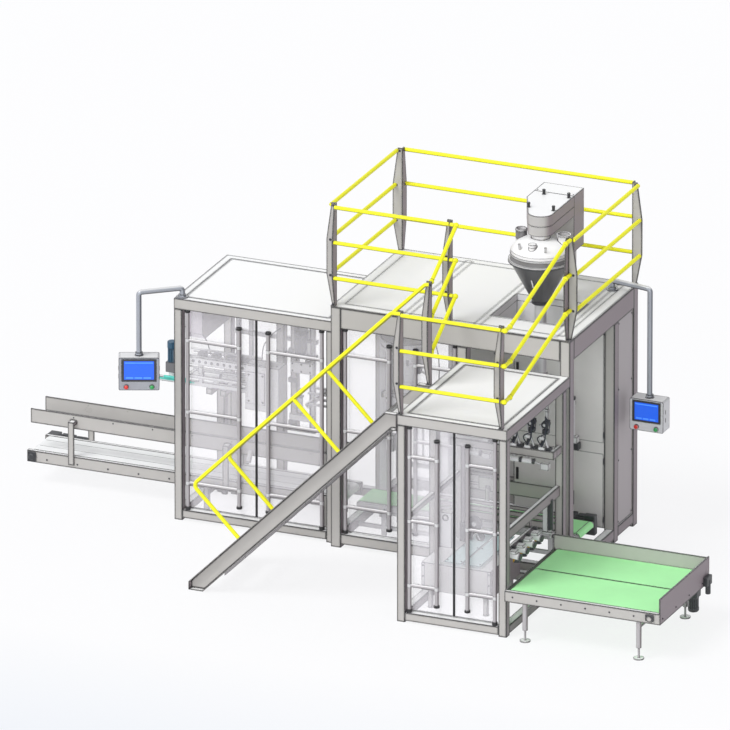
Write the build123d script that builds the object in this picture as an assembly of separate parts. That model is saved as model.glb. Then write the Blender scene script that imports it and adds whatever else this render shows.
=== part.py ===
from build123d import *
import math
import os

# Powder packaging line, in millimetres, +Z up.
# Sizes are set from a datum at the floor corner, front left, of the main frame.
# +X runs along the line from the discharge end to the bag magazine, +Y runs away from the doors.

# Main frame
MAIN_WIDTH = 2390
MAIN_DEPTH = 1650
MAIN_HEIGHT = 2378
MAIN_POST = 100
FASCIA = 204
FASCIA_THICK = 60
MAIN_RAIL_LIFT = 36
RAIL_HEIGHT = 100
MULLION_X = 1260
DECK_THICK = 8
BEARER_SIZE = 60
EDGE_RADIUS = 5
SEAM_WIDTH = 4
SEAM_DEPTH = 3

# Closing cage
CLOSING_RIGHT = 0
CLOSING_WIDTH = 1610
CLOSING_FRONT = 80
CLOSING_DEPTH = 1250
CLOSING_HEIGHT = 2190
CAGE_POST = 80
CAGE_BEAM = 100
CLOSING_RAIL_LIFT = 25
CAGE_RAIL = 80
SHEET_THICK = 6

# Bag cage
BAG_LEFT = 1300
BAG_FRONT = -1510
BAG_HEIGHT = 2030
BAG_MID_POST = -750
BAG_RAIL_LIFT = 15
BAG_MID_RAIL = 960
MID_RAIL_SIZE = 50
BACK_POST_SETBACK = 80

# Doors
DOOR_TUBE = 38
CROSSBAR = 32
CLIP_SIZE = 24
CLIP_INSET = 70
TUBE_CLEAR = 0.3
PIVOT_GAP = 0.4
BEARING_SIZE = 52
BEARING_HEIGHT = 30
DOOR_SETBACK = 30
MAIN_DOOR_SETBACK = 40
PANE_CLEAR = 10
SEAL_GAP = 4
CAP_HEIGHT = 22
CAP_OVERHANG = 8
LOW_BAR_LIFT = 265
CAGE_BAR_DROP = 305
MAIN_BAR_DROP = 266
HANDLE_LIFT = 105
HANDLE_DROP = 130

# Stair
STAIR_FOOT = -780
STAIR_WIDTH = 750
STRINGER_DEPTH = 160
STRINGER_WEB = 8
STRINGER_FLANGE = 52
STAIR_TOE = 80
TREAD_COUNT = 9
TREAD_SETBACK = 20
TREAD_DEPTH = 200
TREAD_LIP = 35
TREAD_THICK = 5
HANDRAIL_LEVEL = 60
HANDRAIL_POST_RUN = 1000

# Guard rail
RAIL_TUBE = 38
RAIL_BEND = 57
BALL_SIZE = 52
BALL_SOCKET = 21
RAIL_STUB = 60
RAIL_LEVELS = (290, 640, 981)
GUARD_HEIGHT = 1000
GUARD_TOP = 50
GUARD_WAIST = 100
WAIST_LOW = 0.29
WAIST_HIGH = 0.64
GUARD_FOOT = 45
GUARD_THICK = 12
GUARD_PLATE = 8
PASSAGE_POST = 1202
STAIR_POST_GAP = 8

# Hopper and agitator drive
HOPPER_RIGHT = 563
HOPPER_Y = 652
OUTLET_LIFT = 87
CONE_HEIGHT = 403
CONE_TOP = 420
HOPPER_BODY = 560
BODY_HEIGHT = 90
HOPPER_FLANGE = 600
HOPPER_FLANGE_THICK = 14
HOPPER_SPOUT = 110
HOPPER_WALL = 5
DOME_RISE = 112
DOME_NECK = 170
NECK_HEIGHT = 44
PORT_SIZE = 104
PORT_X = 214
PORT_Y = 48
PORT_RIM = 150
PORT_RIM_THICK = 12
PORT_HEIGHT = 150
FRONT_PORT = 70
FRONT_PORT_Y = 202
FRONT_PORT_HEIGHT = 100
SIGHT_LENGTH = 130
SIGHT_WIDTH = 26
SIGHT_THICK = 6
SPOUT_END = 640
CLAMP_RING = 13
CLAMP_HEIGHT = 22
HATCH_REACH = 367
HATCH_WIDTH = 710
HATCH_SETBACK = 312
HATCH_DEPTH = 620
HATCH_GAP = 0.5
HATCH_WALL = 6
HATCH_COLLAR = 60
DRIVE_BAND = 95
DRIVE_COVER = 105
DRIVE_NOSE = 244
DRIVE_SHOULDER = 328
DRIVE_LEFT = 278
BOX_SETBACK = 511
MOTOR_BOX_DEPTH = 237
MOTOR_BOX_HEIGHT = 550
COLUMN_SIZE = 60
KNOB_SIZE = 25
KNOB_HEIGHT = 50
KNOB_INSET = 30

# Control cabinet
CABINET_WIDTH = 910
CABINET_GAP = 133
CABINET_SPLIT = 873
CABINET_BAND = 107
PANEL_THICK = 3
PANEL_GAP = 8
SIDE_INSET = 12

# Operator screens
ARM_TUBE = 50
ARM_COLLAR = 72
COLLAR_HEIGHT = 20
SOCKET_FLANGE = 112
SOCKET_THICK = 10
SCREEN_REACH = 418
SCREEN_WIDTH = 336
SCREEN_DEPTH = 155
SCREEN_HEIGHT = 310
SCREEN_DROP = 968
SCREEN_LEFT_WIDTH = 378
SCREEN_LEFT_HEIGHT = 320
SCREEN_LEFT_DROP = 520
SCREEN_RIM = 14
BEZEL_DEPTH = 4
BUTTON_SIZE = 36
BUTTON_LENGTH = 22
BUTTON_INSET = 70
BUTTON_LIFT = 36
DISPLAY_LIFT = 74
ARM_RISE = 90
RIGHT_FOOT_INSET = (160, 240)
LEFT_FOOT_INSET = 60

# Conveyors
BELT_THICK = 5
BELT_INSET = 15
BELT_SIDE = 5
BELT_DROP = 90
BED_THICK = 20
BED_INSET = 90
CROSS_DROP = 60
DISCHARGE_LEFT = -3250
DISCHARGE_GAP = 50
DISCHARGE_FRONT = 420
DISCHARGE_WIDTH = 460
DISCHARGE_RAIL_BASE = 210
DISCHARGE_RAIL_HEIGHT = 112
DISCHARGE_RAIL_THICK = 40
DISCHARGE_LEG_INSET = 150
GUIDE_BASE = 580
GUIDE_HEIGHT = 140
GUIDE_SPAN = 340
GUIDE_THICK = 12
GUIDE_POST_LIFT = 30
GUIDE_ARM_LIFT = 50
GUIDE_ARM_HEIGHT = 35
GUIDE_POST_INSET = 420
GUIDE_CAGE_INSET = 345
SUPPORT_SIZE = 60
TRANSFER_LEFT = 60
TRANSFER_END = 90
TRANSFER_FRONT = 450
TRANSFER_WIDTH = 380
TRANSFER_TOP = 300
TRANSFER_PULLEY = 70
TRANSFER_SIDE = 20
TRANSFER_LEG_INSET = 260
TIE_LIFT = 20
TIE_SIZE = 40
MAGAZINE_LENGTH = 1530
MAGAZINE_FRONT = -1560
MAGAZINE_WIDTH = 1190
MAGAZINE_TOP = 480
MAGAZINE_RAIL = 105
MAGAZINE_BOARD = 630
LANE_WIDTH = 590
MAGAZINE_LANE_GAP = 20
MAGAZINE_EDGE = 40
MAGAZINE_PLATE = 12
MAGAZINE_LEG_INSETS = (190, 214)
LEG_TUBE = 50
FOOT_DISC = 100
FOOT_THICK = 12
FOOT_SCREW = 20
FOOT_RISE = 110
FOOT_CROSS = 40
MOTOR_BODY = 0.88
FAN_COVER = 0.96
FAN_START = 0.62
DISCHARGE_MOTOR = 110
DISCHARGE_MOTOR_LENGTH = 280
TRANSFER_MOTOR = 120
TRANSFER_MOTOR_LENGTH = 180
END_MOTOR_SIZE = 50
END_MOTOR_HEIGHT = 140
END_MOTOR_DROP = 80
LANE_MOTOR = 110
LANE_MOTOR_LENGTH = 140
LANE_MOTOR_INSET = 120
LANE_GEAR_HEIGHT = 145

# Bag table and bag gantry
TABLE_WIDTH = 690
TABLE_FRONT = -1120
TABLE_BACK = -410
TABLE_BASE = 100
TABLE_TOP = 455
SKID_SIZE = 80
PLATE_LEFT = 213
PLATE_FRONT = -1084
PLATE_LENGTH = 834
PLATE_WIDTH = 170
PLATE_SPACE = 15
PLATE_LIFT = 20
PILLAR_SIZE = 20
PILLAR_INSET = 40
GANTRY_DROP = 620
GANTRY_SIZE = 80
GANTRY_REACH = 110
ARM_SPACING = 130
ARM_COUNT = 3
CYLINDER_SIZE = 44
CYLINDER_HEIGHT = 190
CUP_SIZE = 60
CUP_HEIGHT = 24
PICKER_COUNT = 4
PICKER_LENGTH = 110
PICKER_SPACE = 35
PICKER_DEPTH = 90
PICKER_HEIGHT = 60
PICKER_DROP = 230

# Bag closing
SEALER_LEFT = -400
SEALER_Y = 650
SEALER_BAR = 40
SEALER_SILL = 1130
SEALER_TOP = 1420
BAND_WIDTH = 100
BAND_HEIGHT = 70
BAND_LEFT = 90
HEAD_LENGTH = 340
HEAD_DEPTH = 180
HEAD_BASE = 1000
SEALER_MOTOR = 70
SEALER_MOTOR_HEIGHT = 290
STAND_SPACING = 140
STAND_INSET = 85
FEED_BOX_WIDTH = 172
FEED_BOX_FRONT = 350
FEED_BOX_DEPTH = 680
FEED_BOX_BASE = 1700
FEED_BOX_BEVEL = 60
LIFT_RIGHT = 865
LIFT_Y = 935
LIFT_GUIDE = 65
LIFT_PLATE = 18
LIFT_REACH = 310
LIFT_LEVELS = (700, 1440, 1880)
LIFT_MOTOR = 120
LIFT_MOTOR_HEIGHT = 180
LIFT_SCREW = 24

# Weigh funnel in the first bay
FUNNEL_X = 480
FUNNEL_Y = 700
FUNNEL_SIZE = 500
FUNNEL_DROP = 470
FUNNEL_RING = 60
FUNNEL_CONE = 380
FUNNEL_THROAT = 120
FEED_TUBE = 150
CLAMP_DROP = 1020
CLAMP_TOP = (280, 200)
CLAMP_FOOT = (230, 150)
CLAMP_DEPTH = 170
COLUMN_LEFT = 120
COLUMN_Y = 870


def block(x0, x1, y0, y1, z0, z1):
    """A box between two corners."""
    centre = Pos((x0 + x1) / 2, (y0 + y1) / 2, (z0 + z1) / 2)
    return centre * Box(x1 - x0, y1 - y0, z1 - z0)


def bar(x0, x1, y0, y1, z0, z1):
    """A square tube between two corners, with rounded long edges."""
    size = (x1 - x0, y1 - y0, z1 - z0)
    along = size.index(max(size))
    middle = ((x0 + x1) / 2, (y0 + y1) / 2, (z0 + z1) / 2)
    if along == 0:
        plane = Plane(origin=(x0, middle[1], middle[2]), x_dir=(0, 1, 0), z_dir=(1, 0, 0))
        section = RectangleRounded(size[1], size[2], EDGE_RADIUS)
    elif along == 1:
        plane = Plane(origin=(middle[0], y0, middle[2]), x_dir=(-1, 0, 0), z_dir=(0, 1, 0))
        section = RectangleRounded(size[0], size[2], EDGE_RADIUS)
    else:
        plane = Plane(origin=(middle[0], middle[1], z0), x_dir=(1, 0, 0), z_dir=(0, 0, 1))
        section = RectangleRounded(size[0], size[1], EDGE_RADIUS)
    return extrude(plane * section, amount=size[along])


def rod(start, end, diameter):
    """A round bar between two points."""
    span = Vector(*end) - Vector(*start)
    plane = Plane(origin=start, z_dir=span.normalized())
    return plane * Cylinder(diameter / 2, span.length, align=(Align.CENTER, Align.CENTER, Align.MIN))


def ring(start, end, diameter, wall):
    """A round tube between two points."""
    return rod(start, end, diameter) - rod(start, end, diameter - 2 * wall)


def pipe(points, diameter, bend):
    """A round tube along straight runs joined by arcs of one bend radius."""
    path = FilletPolyline(*points, radius=bend)
    section = Plane(origin=path @ 0, z_dir=path % 0) * Circle(diameter / 2)
    return sweep(section, path=path)


def prism_xz(points, y0, y1):
    """A profile in X and Z, extruded from y0 to y1."""
    face = Plane.XZ * make_face(Polyline(*points, close=True))
    return Pos(0, y0, 0) * extrude(face, amount=-(y1 - y0))


def prism_yz(points, x0, x1):
    """A profile in Y and Z, extruded from x0 to x1."""
    face = Plane.YZ * make_face(Polyline(*points, close=True))
    return Pos(x0, 0, 0) * extrude(face, amount=x1 - x0)


def lathe(points, x, y):
    """A profile of radius and height turned about a vertical axis."""
    face = Plane.XZ * make_face(Polyline(*points, close=True))
    return Pos(x, y, 0) * revolve(face, axis=Axis.Z)


def stadium(x0, x1, y0, y1, z0, z1):
    """A bar along X with half-round ends."""
    outline = Pos((x0 + x1) / 2, (z0 + z1) / 2) * SlotOverall(x1 - x0, z1 - z0)
    return Pos(0, y0, 0) * extrude(Plane.XZ * outline, amount=-(y1 - y0))


def stadium_loop(x0, x1, y0, y1, top, drop):
    """A belt loop round two end pulleys along X."""
    inner = stadium(x0 + BELT_THICK, x1 - BELT_THICK, y0, y1, top - drop + BELT_THICK, top - BELT_THICK)
    return stadium(x0, x1, y0, y1, top - drop, top) - inner


def end_rollers(x0, x1, y0, y1, top, drop):
    """Rollers inside both ends of a belt loop."""
    size = drop - 2 * BELT_THICK - 2 * TUBE_CLEAR
    z = top - drop / 2
    return rod((x0 + drop / 2, y0, z), (x0 + drop / 2, y1, z), size) + \
        rod((x1 - drop / 2, y0, z), (x1 - drop / 2, y1, z), size)


def seam(x0, x1, y0, y1, top):
    """A narrow groove in a top face along a rectangle, where a sheet is let into its frame."""
    inset = SEAM_WIDTH
    outer = block(x0, x1, y0, y1, top - SEAM_DEPTH, top)
    return outer - block(x0 + inset, x1 - inset, y0 + inset, y1 - inset, top - SEAM_DEPTH, top)


def geared_motor(x, y, z, length, diameter):
    """A motor lying along X: finned body, end shield and fan cover, with a gear block at its left end."""
    half = diameter / 2
    gear = block(x, x + diameter, y - half, y + half, z - half, z + half)
    start = x + diameter
    joint = start + length * FAN_START
    body = rod((start, y, z), (joint, y, z), diameter * MOTOR_BODY)
    cover = rod((joint, y, z), (start + length, y, z), diameter * FAN_COVER)
    return gear + body + cover


# Closing cage places
CLOSING_LEFT = CLOSING_RIGHT - CLOSING_WIDTH
CLOSING_BACK = CLOSING_FRONT + CLOSING_DEPTH
CLOSING_HEAD = CLOSING_HEIGHT - CAGE_BEAM
CLOSING_SILL = CLOSING_RAIL_LIFT + CAGE_RAIL

# Bag cage places
BAG_RIGHT = MAIN_WIDTH
BAG_BACK = 0
BAG_BACK_POST = BAG_BACK - CAGE_POST - BACK_POST_SETBACK
BAG_HEAD = BAG_HEIGHT - CAGE_BEAM
BAG_SILL = BAG_RAIL_LIFT + CAGE_RAIL
RAIL_INSET = (CAGE_POST - MID_RAIL_SIZE) / 2

# Main frame places
MAIN_TOP = MAIN_HEIGHT - DECK_THICK
MAIN_HEAD = MAIN_TOP - FASCIA
MAIN_SILL = MAIN_RAIL_LIFT + RAIL_HEIGHT

# Hopper and hatch places
HOPPER_X = MAIN_WIDTH - HOPPER_RIGHT
HOPPER_OUTLET = MAIN_HEIGHT + OUTLET_LIFT
CONE_LEVEL = HOPPER_OUTLET + CONE_HEIGHT
BODY_BASE = CONE_LEVEL + HOPPER_FLANGE_THICK
BODY_TOP = BODY_BASE + HOPPER_FLANGE_THICK + BODY_HEIGHT
CROWN = BODY_TOP + DOME_RISE
DRIVE_BOTTOM = CROWN + NECK_HEIGHT
DRIVE_SEAM = DRIVE_BOTTOM + DRIVE_BAND
DRIVE_TOP = DRIVE_SEAM + DRIVE_COVER
BOX_FRONT = HOPPER_Y + BOX_SETBACK
BOX_BASE = DRIVE_TOP - MOTOR_BOX_HEIGHT
HATCH_LEFT = HOPPER_X - HATCH_REACH
HATCH_FRONT = HOPPER_Y - HATCH_SETBACK

# Conveyor places
DISCHARGE_RIGHT = CLOSING_RIGHT - DISCHARGE_GAP
DISCHARGE_BACK = DISCHARGE_FRONT + DISCHARGE_WIDTH
DISCHARGE_TOP = DISCHARGE_RAIL_BASE + DISCHARGE_RAIL_HEIGHT
TRANSFER_RIGHT = MAIN_WIDTH - TRANSFER_END
TRANSFER_BACK = TRANSFER_FRONT + TRANSFER_WIDTH
MAGAZINE_RIGHT = BAG_RIGHT + MAGAZINE_LENGTH
MAGAZINE_BACK = MAGAZINE_FRONT + MAGAZINE_WIDTH
CABINET_FRONT = TRANSFER_BACK + TRANSFER_MOTOR + CABINET_GAP
CABINET_RIGHT = MAIN_WIDTH - MAIN_POST


def main_posts():
    """Corner posts at full height, the front mullion and the post at the cabinet's corner."""
    right = MAIN_WIDTH - MAIN_POST
    back = MAIN_DEPTH - MAIN_POST
    posts = [
        bar(x, x + MAIN_POST, y, y + MAIN_POST, 0, MAIN_TOP)
        for x in (0, right)
        for y in (0, back)
    ]
    posts.append(bar(MULLION_X, MULLION_X + MAIN_POST, 0, MAIN_POST, 0, MAIN_HEAD))
    posts.append(bar(right, MAIN_WIDTH, CABINET_FRONT, CABINET_FRONT + MAIN_POST, 0, MAIN_HEAD))
    return posts


def main_beams():
    """Deep top beams between the posts, flush with their outer faces."""
    inner = MAIN_WIDTH - MAIN_POST
    back = MAIN_DEPTH - MAIN_POST
    return [
        bar(MAIN_POST, inner, 0, FASCIA_THICK, MAIN_HEAD, MAIN_TOP),
        bar(MAIN_POST, inner, MAIN_DEPTH - FASCIA_THICK, MAIN_DEPTH, MAIN_HEAD, MAIN_TOP),
        bar(0, FASCIA_THICK, MAIN_POST, back, MAIN_HEAD, MAIN_TOP),
        bar(MAIN_WIDTH - FASCIA_THICK, MAIN_WIDTH, MAIN_POST, back, MAIN_HEAD, MAIN_TOP),
    ]


def base_rails():
    """Bottom rails of the main frame and the closing cage, between their posts."""
    right = MAIN_WIDTH - MAIN_POST
    back = MAIN_DEPTH - MAIN_POST
    rails = [
        bar(MAIN_POST, MULLION_X, 0, CAGE_RAIL, MAIN_RAIL_LIFT, MAIN_SILL),
        bar(MULLION_X + MAIN_POST, right, 0, CAGE_RAIL, MAIN_RAIL_LIFT, MAIN_SILL),
        bar(MAIN_POST, right, MAIN_DEPTH - CAGE_RAIL, MAIN_DEPTH, MAIN_RAIL_LIFT, MAIN_SILL),
        bar(0, CAGE_RAIL, MAIN_POST, back, MAIN_RAIL_LIFT, MAIN_SILL),
        bar(MAIN_WIDTH - CAGE_RAIL, MAIN_WIDTH, MAIN_POST, CABINET_FRONT, MAIN_RAIL_LIFT, MAIN_SILL),
        bar(MAIN_WIDTH - CAGE_RAIL, MAIN_WIDTH, CABINET_FRONT + MAIN_POST, back, MAIN_RAIL_LIFT, MAIN_SILL),
    ]
    for y in (CLOSING_FRONT, CLOSING_BACK - CAGE_RAIL):
        rails.append(bar(CLOSING_LEFT + CAGE_POST, CLOSING_RIGHT - CAGE_POST, y, y + CAGE_RAIL,
                         CLOSING_RAIL_LIFT, CLOSING_SILL))
    rails.append(bar(CLOSING_LEFT, CLOSING_LEFT + CAGE_RAIL, CLOSING_FRONT + CAGE_POST,
                     CLOSING_BACK - CAGE_POST, CLOSING_RAIL_LIFT, CLOSING_SILL))
    return rails


def bag_rails():
    """Bottom rails of the bag cage and the middle rails of its two sides."""
    front = BAG_FRONT + CAGE_POST
    rails = [
        bar(BAG_LEFT + CAGE_POST, BAG_RIGHT - CAGE_POST, BAG_FRONT, front, BAG_RAIL_LIFT, BAG_SILL),
        bar(BAG_LEFT + CAGE_POST, BAG_RIGHT - CAGE_POST, BAG_BACK_POST, BAG_BACK_POST + CAGE_POST,
            BAG_RAIL_LIFT, BAG_SILL),
        bar(BAG_RIGHT - CAGE_RAIL, BAG_RIGHT, front, BAG_BACK_POST, BAG_RAIL_LIFT, BAG_SILL),
        bar(BAG_RIGHT - CAGE_POST, BAG_RIGHT - CAGE_POST + MID_RAIL_SIZE, front, BAG_BACK_POST,
            BAG_MID_RAIL - MID_RAIL_SIZE, BAG_MID_RAIL + MID_RAIL_SIZE),
    ]
    for low, high in ((front, BAG_MID_POST), (BAG_MID_POST + CAGE_POST, BAG_BACK_POST)):
        rails.append(bar(BAG_LEFT, BAG_LEFT + CAGE_RAIL, low, high, BAG_RAIL_LIFT, BAG_SILL))
        rails.append(bar(BAG_LEFT + RAIL_INSET, BAG_LEFT + RAIL_INSET + MID_RAIL_SIZE, low, high,
                         BAG_MID_RAIL, BAG_MID_RAIL + MID_RAIL_SIZE))
    return rails


def cage_top(x0, x1, y0, y1, top):
    """A welded ring of beams with a sheet let in flush with its top, and the seam round the sheet."""
    outer = block(x0, x1, y0, y1, top - CAGE_BEAM, top)
    well = block(x0 + CAGE_POST, x1 - CAGE_POST, y0 + CAGE_POST, y1 - CAGE_POST,
                 top - CAGE_BEAM, top - SHEET_THICK)
    inset = CAGE_POST - SHEET_THICK
    return outer - well - seam(x0 + inset, x1 - inset, y0 + inset, y1 - inset, top)


def closing_posts():
    """Four corner posts of the closing cage."""
    return [
        bar(x, x + CAGE_POST, y, y + CAGE_POST, 0, CLOSING_HEAD)
        for x in (CLOSING_LEFT, CLOSING_RIGHT - CAGE_POST)
        for y in (CLOSING_FRONT, CLOSING_BACK - CAGE_POST)
    ]


def bag_posts():
    """Corner posts of the bag cage and the middle post of its left side."""
    posts = [
        bar(x, x + CAGE_POST, y, y + CAGE_POST, 0, BAG_HEAD)
        for x in (BAG_LEFT, BAG_RIGHT - CAGE_POST)
        for y in (BAG_FRONT, BAG_BACK_POST)
    ]
    posts.append(bar(BAG_LEFT, BAG_LEFT + CAGE_POST, BAG_MID_POST, BAG_MID_POST + CAGE_POST, 0, BAG_HEAD))
    return posts


def main_deck():
    """Deck plate on its bearers, with the hatch cut out and a seam round its edge."""
    right = HATCH_LEFT + HATCH_WIDTH
    back = HATCH_FRONT + HATCH_DEPTH
    deck = block(0, MAIN_WIDTH, 0, MAIN_DEPTH, MAIN_TOP, MAIN_HEIGHT)
    deck -= block(HATCH_LEFT, right, HATCH_FRONT, back, MAIN_TOP, MAIN_HEIGHT)
    deck -= seam(MAIN_POST, MAIN_WIDTH - MAIN_POST, MAIN_POST, MAIN_DEPTH - MAIN_POST, MAIN_HEIGHT)
    left_bearer = HATCH_LEFT - BEARER_SIZE
    for x in (left_bearer / 2, left_bearer, right):
        deck += block(x, x + BEARER_SIZE, FASCIA_THICK, MAIN_DEPTH - FASCIA_THICK,
                      MAIN_TOP - BEARER_SIZE, MAIN_TOP)
    return deck


def deck_hatch():
    """Collar that lines the hatch, standing a little over the deck."""
    gap = HATCH_GAP
    x0, x1 = HATCH_LEFT + gap, HATCH_LEFT + HATCH_WIDTH - gap
    y0, y1 = HATCH_FRONT + gap, HATCH_FRONT + HATCH_DEPTH - gap
    low, high = MAIN_HEIGHT - HATCH_COLLAR, MAIN_HEIGHT + HATCH_WALL
    wall = HATCH_WALL
    return block(x0, x1, y0, y1, low, high) - block(x0 + wall, x1 - wall, y0 + wall, y1 - wall, low, high)


def side_glazing():
    """Clear pane in the left side of the bag cage, behind the middle post."""
    x = BAG_LEFT + CAGE_POST / 2
    low = BAG_MID_POST + CAGE_POST
    return block(x - SHEET_THICK / 2, x + SHEET_THICK / 2, low, BAG_BACK_POST,
                 BAG_MID_RAIL + MID_RAIL_SIZE, BAG_HEAD)


class DoorPair:
    """A bay closed by two leaves that meet in its middle."""

    def __init__(self, name, bay, pivots, handles, axis_y, sill, head, bar_drop):
        self.name = name
        self.axis_y = axis_y
        self.sill = sill
        self.head = head
        self.meeting = (bay[0] + bay[1]) / 2
        self.hinges = (bay[0] + pivots[0], bay[1] - pivots[1])
        self.handles = (self.meeting - handles[0], self.meeting + handles[1])
        low = sill + LOW_BAR_LIFT
        high = head - bar_drop
        self.bars = (low, (low + high) / 2, high)
        self.handle_ends = (sill + HANDLE_LIFT, head - HANDLE_DROP)

    def leaves(self):
        """Both leaves of the bay."""
        return [DoorLeaf(self, "left", 0), DoorLeaf(self, "right", 1)]


class DoorLeaf:
    """One leaf: hinge tube, three crossbars, a shorter handle tube and a clear pane."""

    def __init__(self, pair, hand, index):
        self.pair = pair
        self.name = f"{pair.name}_door_{hand}"
        self.hinge = pair.hinges[index]
        self.handle = pair.handles[index]
        self.side = 1 if index == 0 else -1

    def tubes(self):
        """Hinge tube, crossbars and handle tube welded together, with clips that hold the pane."""
        pair = self.pair
        y = pair.axis_y
        low = pair.sill + BEARING_HEIGHT + PIVOT_GAP
        high = pair.head - BEARING_HEIGHT - PIVOT_GAP
        frame = rod((self.hinge, y, low), (self.hinge, y, high), DOOR_TUBE)
        frame += rod((self.handle, y, pair.handle_ends[0]), (self.handle, y, pair.handle_ends[1]), DOOR_TUBE)
        for z in pair.bars:
            frame += rod((self.hinge, y, z), (self.handle, y, z), CROSSBAR)
        for end, turn in zip(pair.handle_ends, (-1, 1)):
            cap = (self.handle, y, end + turn * CAP_HEIGHT)
            frame += rod((self.handle, y, end), cap, DOOR_TUBE + 2 * CAP_OVERHANG)
        seat = self.pane_front() - TUBE_CLEAR
        for z in pair.bars:
            for x in (self.hinge + self.side * CLIP_INSET, self.handle - self.side * CLIP_INSET):
                frame += rod((x, y, z), (x, seat, z), CLIP_SIZE)
        return frame

    def pane_front(self):
        """Front face of the clear sheet, just behind the end caps."""
        return self.pair.axis_y + DOOR_TUBE / 2 + CAP_OVERHANG + TUBE_CLEAR

    def pane(self):
        """Clear sheet behind the tubes, from the hinge tube to the meeting line."""
        front = self.pane_front()
        near = self.hinge + self.side * DOOR_TUBE / 2
        xs = sorted((near, self.pair.meeting - self.side * SEAL_GAP))
        return block(xs[0], xs[1], front, front + SHEET_THICK, self.pair.sill + PANE_CLEAR,
                     self.pair.head - PANE_CLEAR)

    def bearings(self):
        """Round bearings under and over the hinge tube."""
        x, y = self.hinge, self.pair.axis_y
        return [
            rod((x, y, z), (x, y, z + BEARING_HEIGHT), BEARING_SIZE)
            for z in (self.pair.sill, self.pair.head - BEARING_HEIGHT)
        ]


def door_leaves():
    """The six hinged leaves of the three door bays."""
    pairs = [
        DoorPair("closing", (CLOSING_LEFT + CAGE_POST, CLOSING_RIGHT - CAGE_POST), (45, 55), (162, 131),
                 CLOSING_FRONT + DOOR_SETBACK, CLOSING_SILL, CLOSING_HEAD, CAGE_BAR_DROP),
        DoorPair("filling", (MAIN_POST, MULLION_X), (30, 30), (109, 154),
                 MAIN_DOOR_SETBACK, MAIN_SILL, MAIN_HEAD, MAIN_BAR_DROP),
        DoorPair("bag", (BAG_LEFT + CAGE_POST, BAG_RIGHT - CAGE_POST), (33, 47), (161, 145),
                 BAG_FRONT + DOOR_SETBACK, BAG_SILL, BAG_HEAD, CAGE_BAR_DROP),
    ]
    return [leaf for pair in pairs for leaf in pair.leaves()]


# Guard rail and handrail places
GUARD_REACH = GUARD_THICK + RAIL_TUBE / 2
TOP_LINE = GUARD_REACH - GUARD_FOOT
LOW_LINE = GUARD_WAIST - RAIL_TUBE / 2 - GUARD_THICK / 2 - GUARD_FOOT
NEAR_HANDRAIL = BAG_FRONT - TOP_LINE
NEAR_WEB = NEAR_HANDRAIL + STRINGER_FLANGE / 2
FAR_WEB = NEAR_WEB + STAIR_WIDTH
FAR_HANDRAIL = FAR_WEB + STRINGER_FLANGE / 2
STAIR_POST_X = BAG_LEFT - STAIR_POST_GAP
STAIR_POST_Y = FAR_HANDRAIL + GUARD_REACH


def stringer_outline(inset=0.0):
    """Side outline of a stringer: toe, slope and level top at the bag deck."""
    lift = STRINGER_DEPTH * math.sqrt(2)
    top = BAG_HEIGHT
    knee = STAIR_FOOT + top - STAIR_TOE
    slope_inset = inset * math.tan(math.pi / 8)
    heel = STAIR_FOOT - STAIR_TOE + lift
    under = top - STRINGER_DEPTH
    return [
        (STAIR_FOOT + inset, inset),
        (STAIR_FOOT + inset, STAIR_TOE - slope_inset),
        (knee + slope_inset, top - inset),
        (BAG_LEFT - inset, top - inset),
        (BAG_LEFT - inset, under + inset),
        (heel + under - slope_inset, under + inset),
        (heel - slope_inset, inset),
    ]


def stringer_faces():
    """Outer web faces of the near and the far stringer, with the way their flanges point."""
    return ((NEAR_WEB, -1), (FAR_WEB, 1))


def stair_stringers():
    """Two channel stringers with their flanges outwards."""
    stringers = []
    for web, side in stringer_faces():
        inner = web - side * STRINGER_WEB
        outer = web + side * STRINGER_FLANGE
        low, high = sorted((inner, outer))
        body = prism_xz(stringer_outline(), low, high)
        low, high = sorted((web, outer + side))
        stringers.append(body - prism_xz(stringer_outline(STRINGER_WEB), low, high))
    return stringers


def stair_treads():
    """Folded plate treads between the stringers."""
    near = NEAR_WEB + STRINGER_WEB
    far = FAR_WEB - STRINGER_WEB
    rise = BAG_HEIGHT / (TREAD_COUNT + 1)
    treads = []
    for step in range(1, TREAD_COUNT + 1):
        z = step * rise
        x0 = STAIR_FOOT - STAIR_TOE + z + TREAD_SETBACK
        x1 = x0 + TREAD_DEPTH
        profile = [
            (x0, z), (x1, z), (x1, z - TREAD_LIP), (x1 - TREAD_THICK, z - TREAD_LIP),
            (x1 - TREAD_THICK, z - TREAD_THICK), (x0 + TREAD_THICK, z - TREAD_THICK),
            (x0 + TREAD_THICK, z - TREAD_LIP), (x0, z - TREAD_LIP),
        ]
        treads.append(prism_xz(profile, near, far))
    return treads


def stair_handrails():
    """Sloping handrails on posts square to the slope, up to the guard posts of the bag deck."""
    foot_x = STAIR_FOOT + RAIL_TUBE
    top = BAG_HEIGHT + RAIL_LEVELS[-1]
    bend = BAG_LEFT - HANDRAIL_LEVEL
    foot_z = top - (bend - foot_x)
    drop = (foot_z - foot_x + STAIR_FOOT - STAIR_TOE) / 2
    high_x = foot_x + HANDRAIL_POST_RUN
    high_z = foot_z + HANDRAIL_POST_RUN
    rails = []
    ends = ((NEAR_HANDRAIL, BAG_LEFT + GUARD_FOOT), (FAR_HANDRAIL, STAIR_POST_X))
    for y, corner in ends:
        stop = corner - GUARD_THICK
        run = [(foot_x + drop, y, foot_z - drop), (foot_x, y, foot_z), (bend, y, top), (stop, y, top)]
        rail = pipe(run, RAIL_TUBE, RAIL_BEND)
        rail += rod((high_x, y, high_z), (high_x + drop, y, high_z - drop), RAIL_TUBE)
        rails.append(rail)
    return rails


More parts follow.
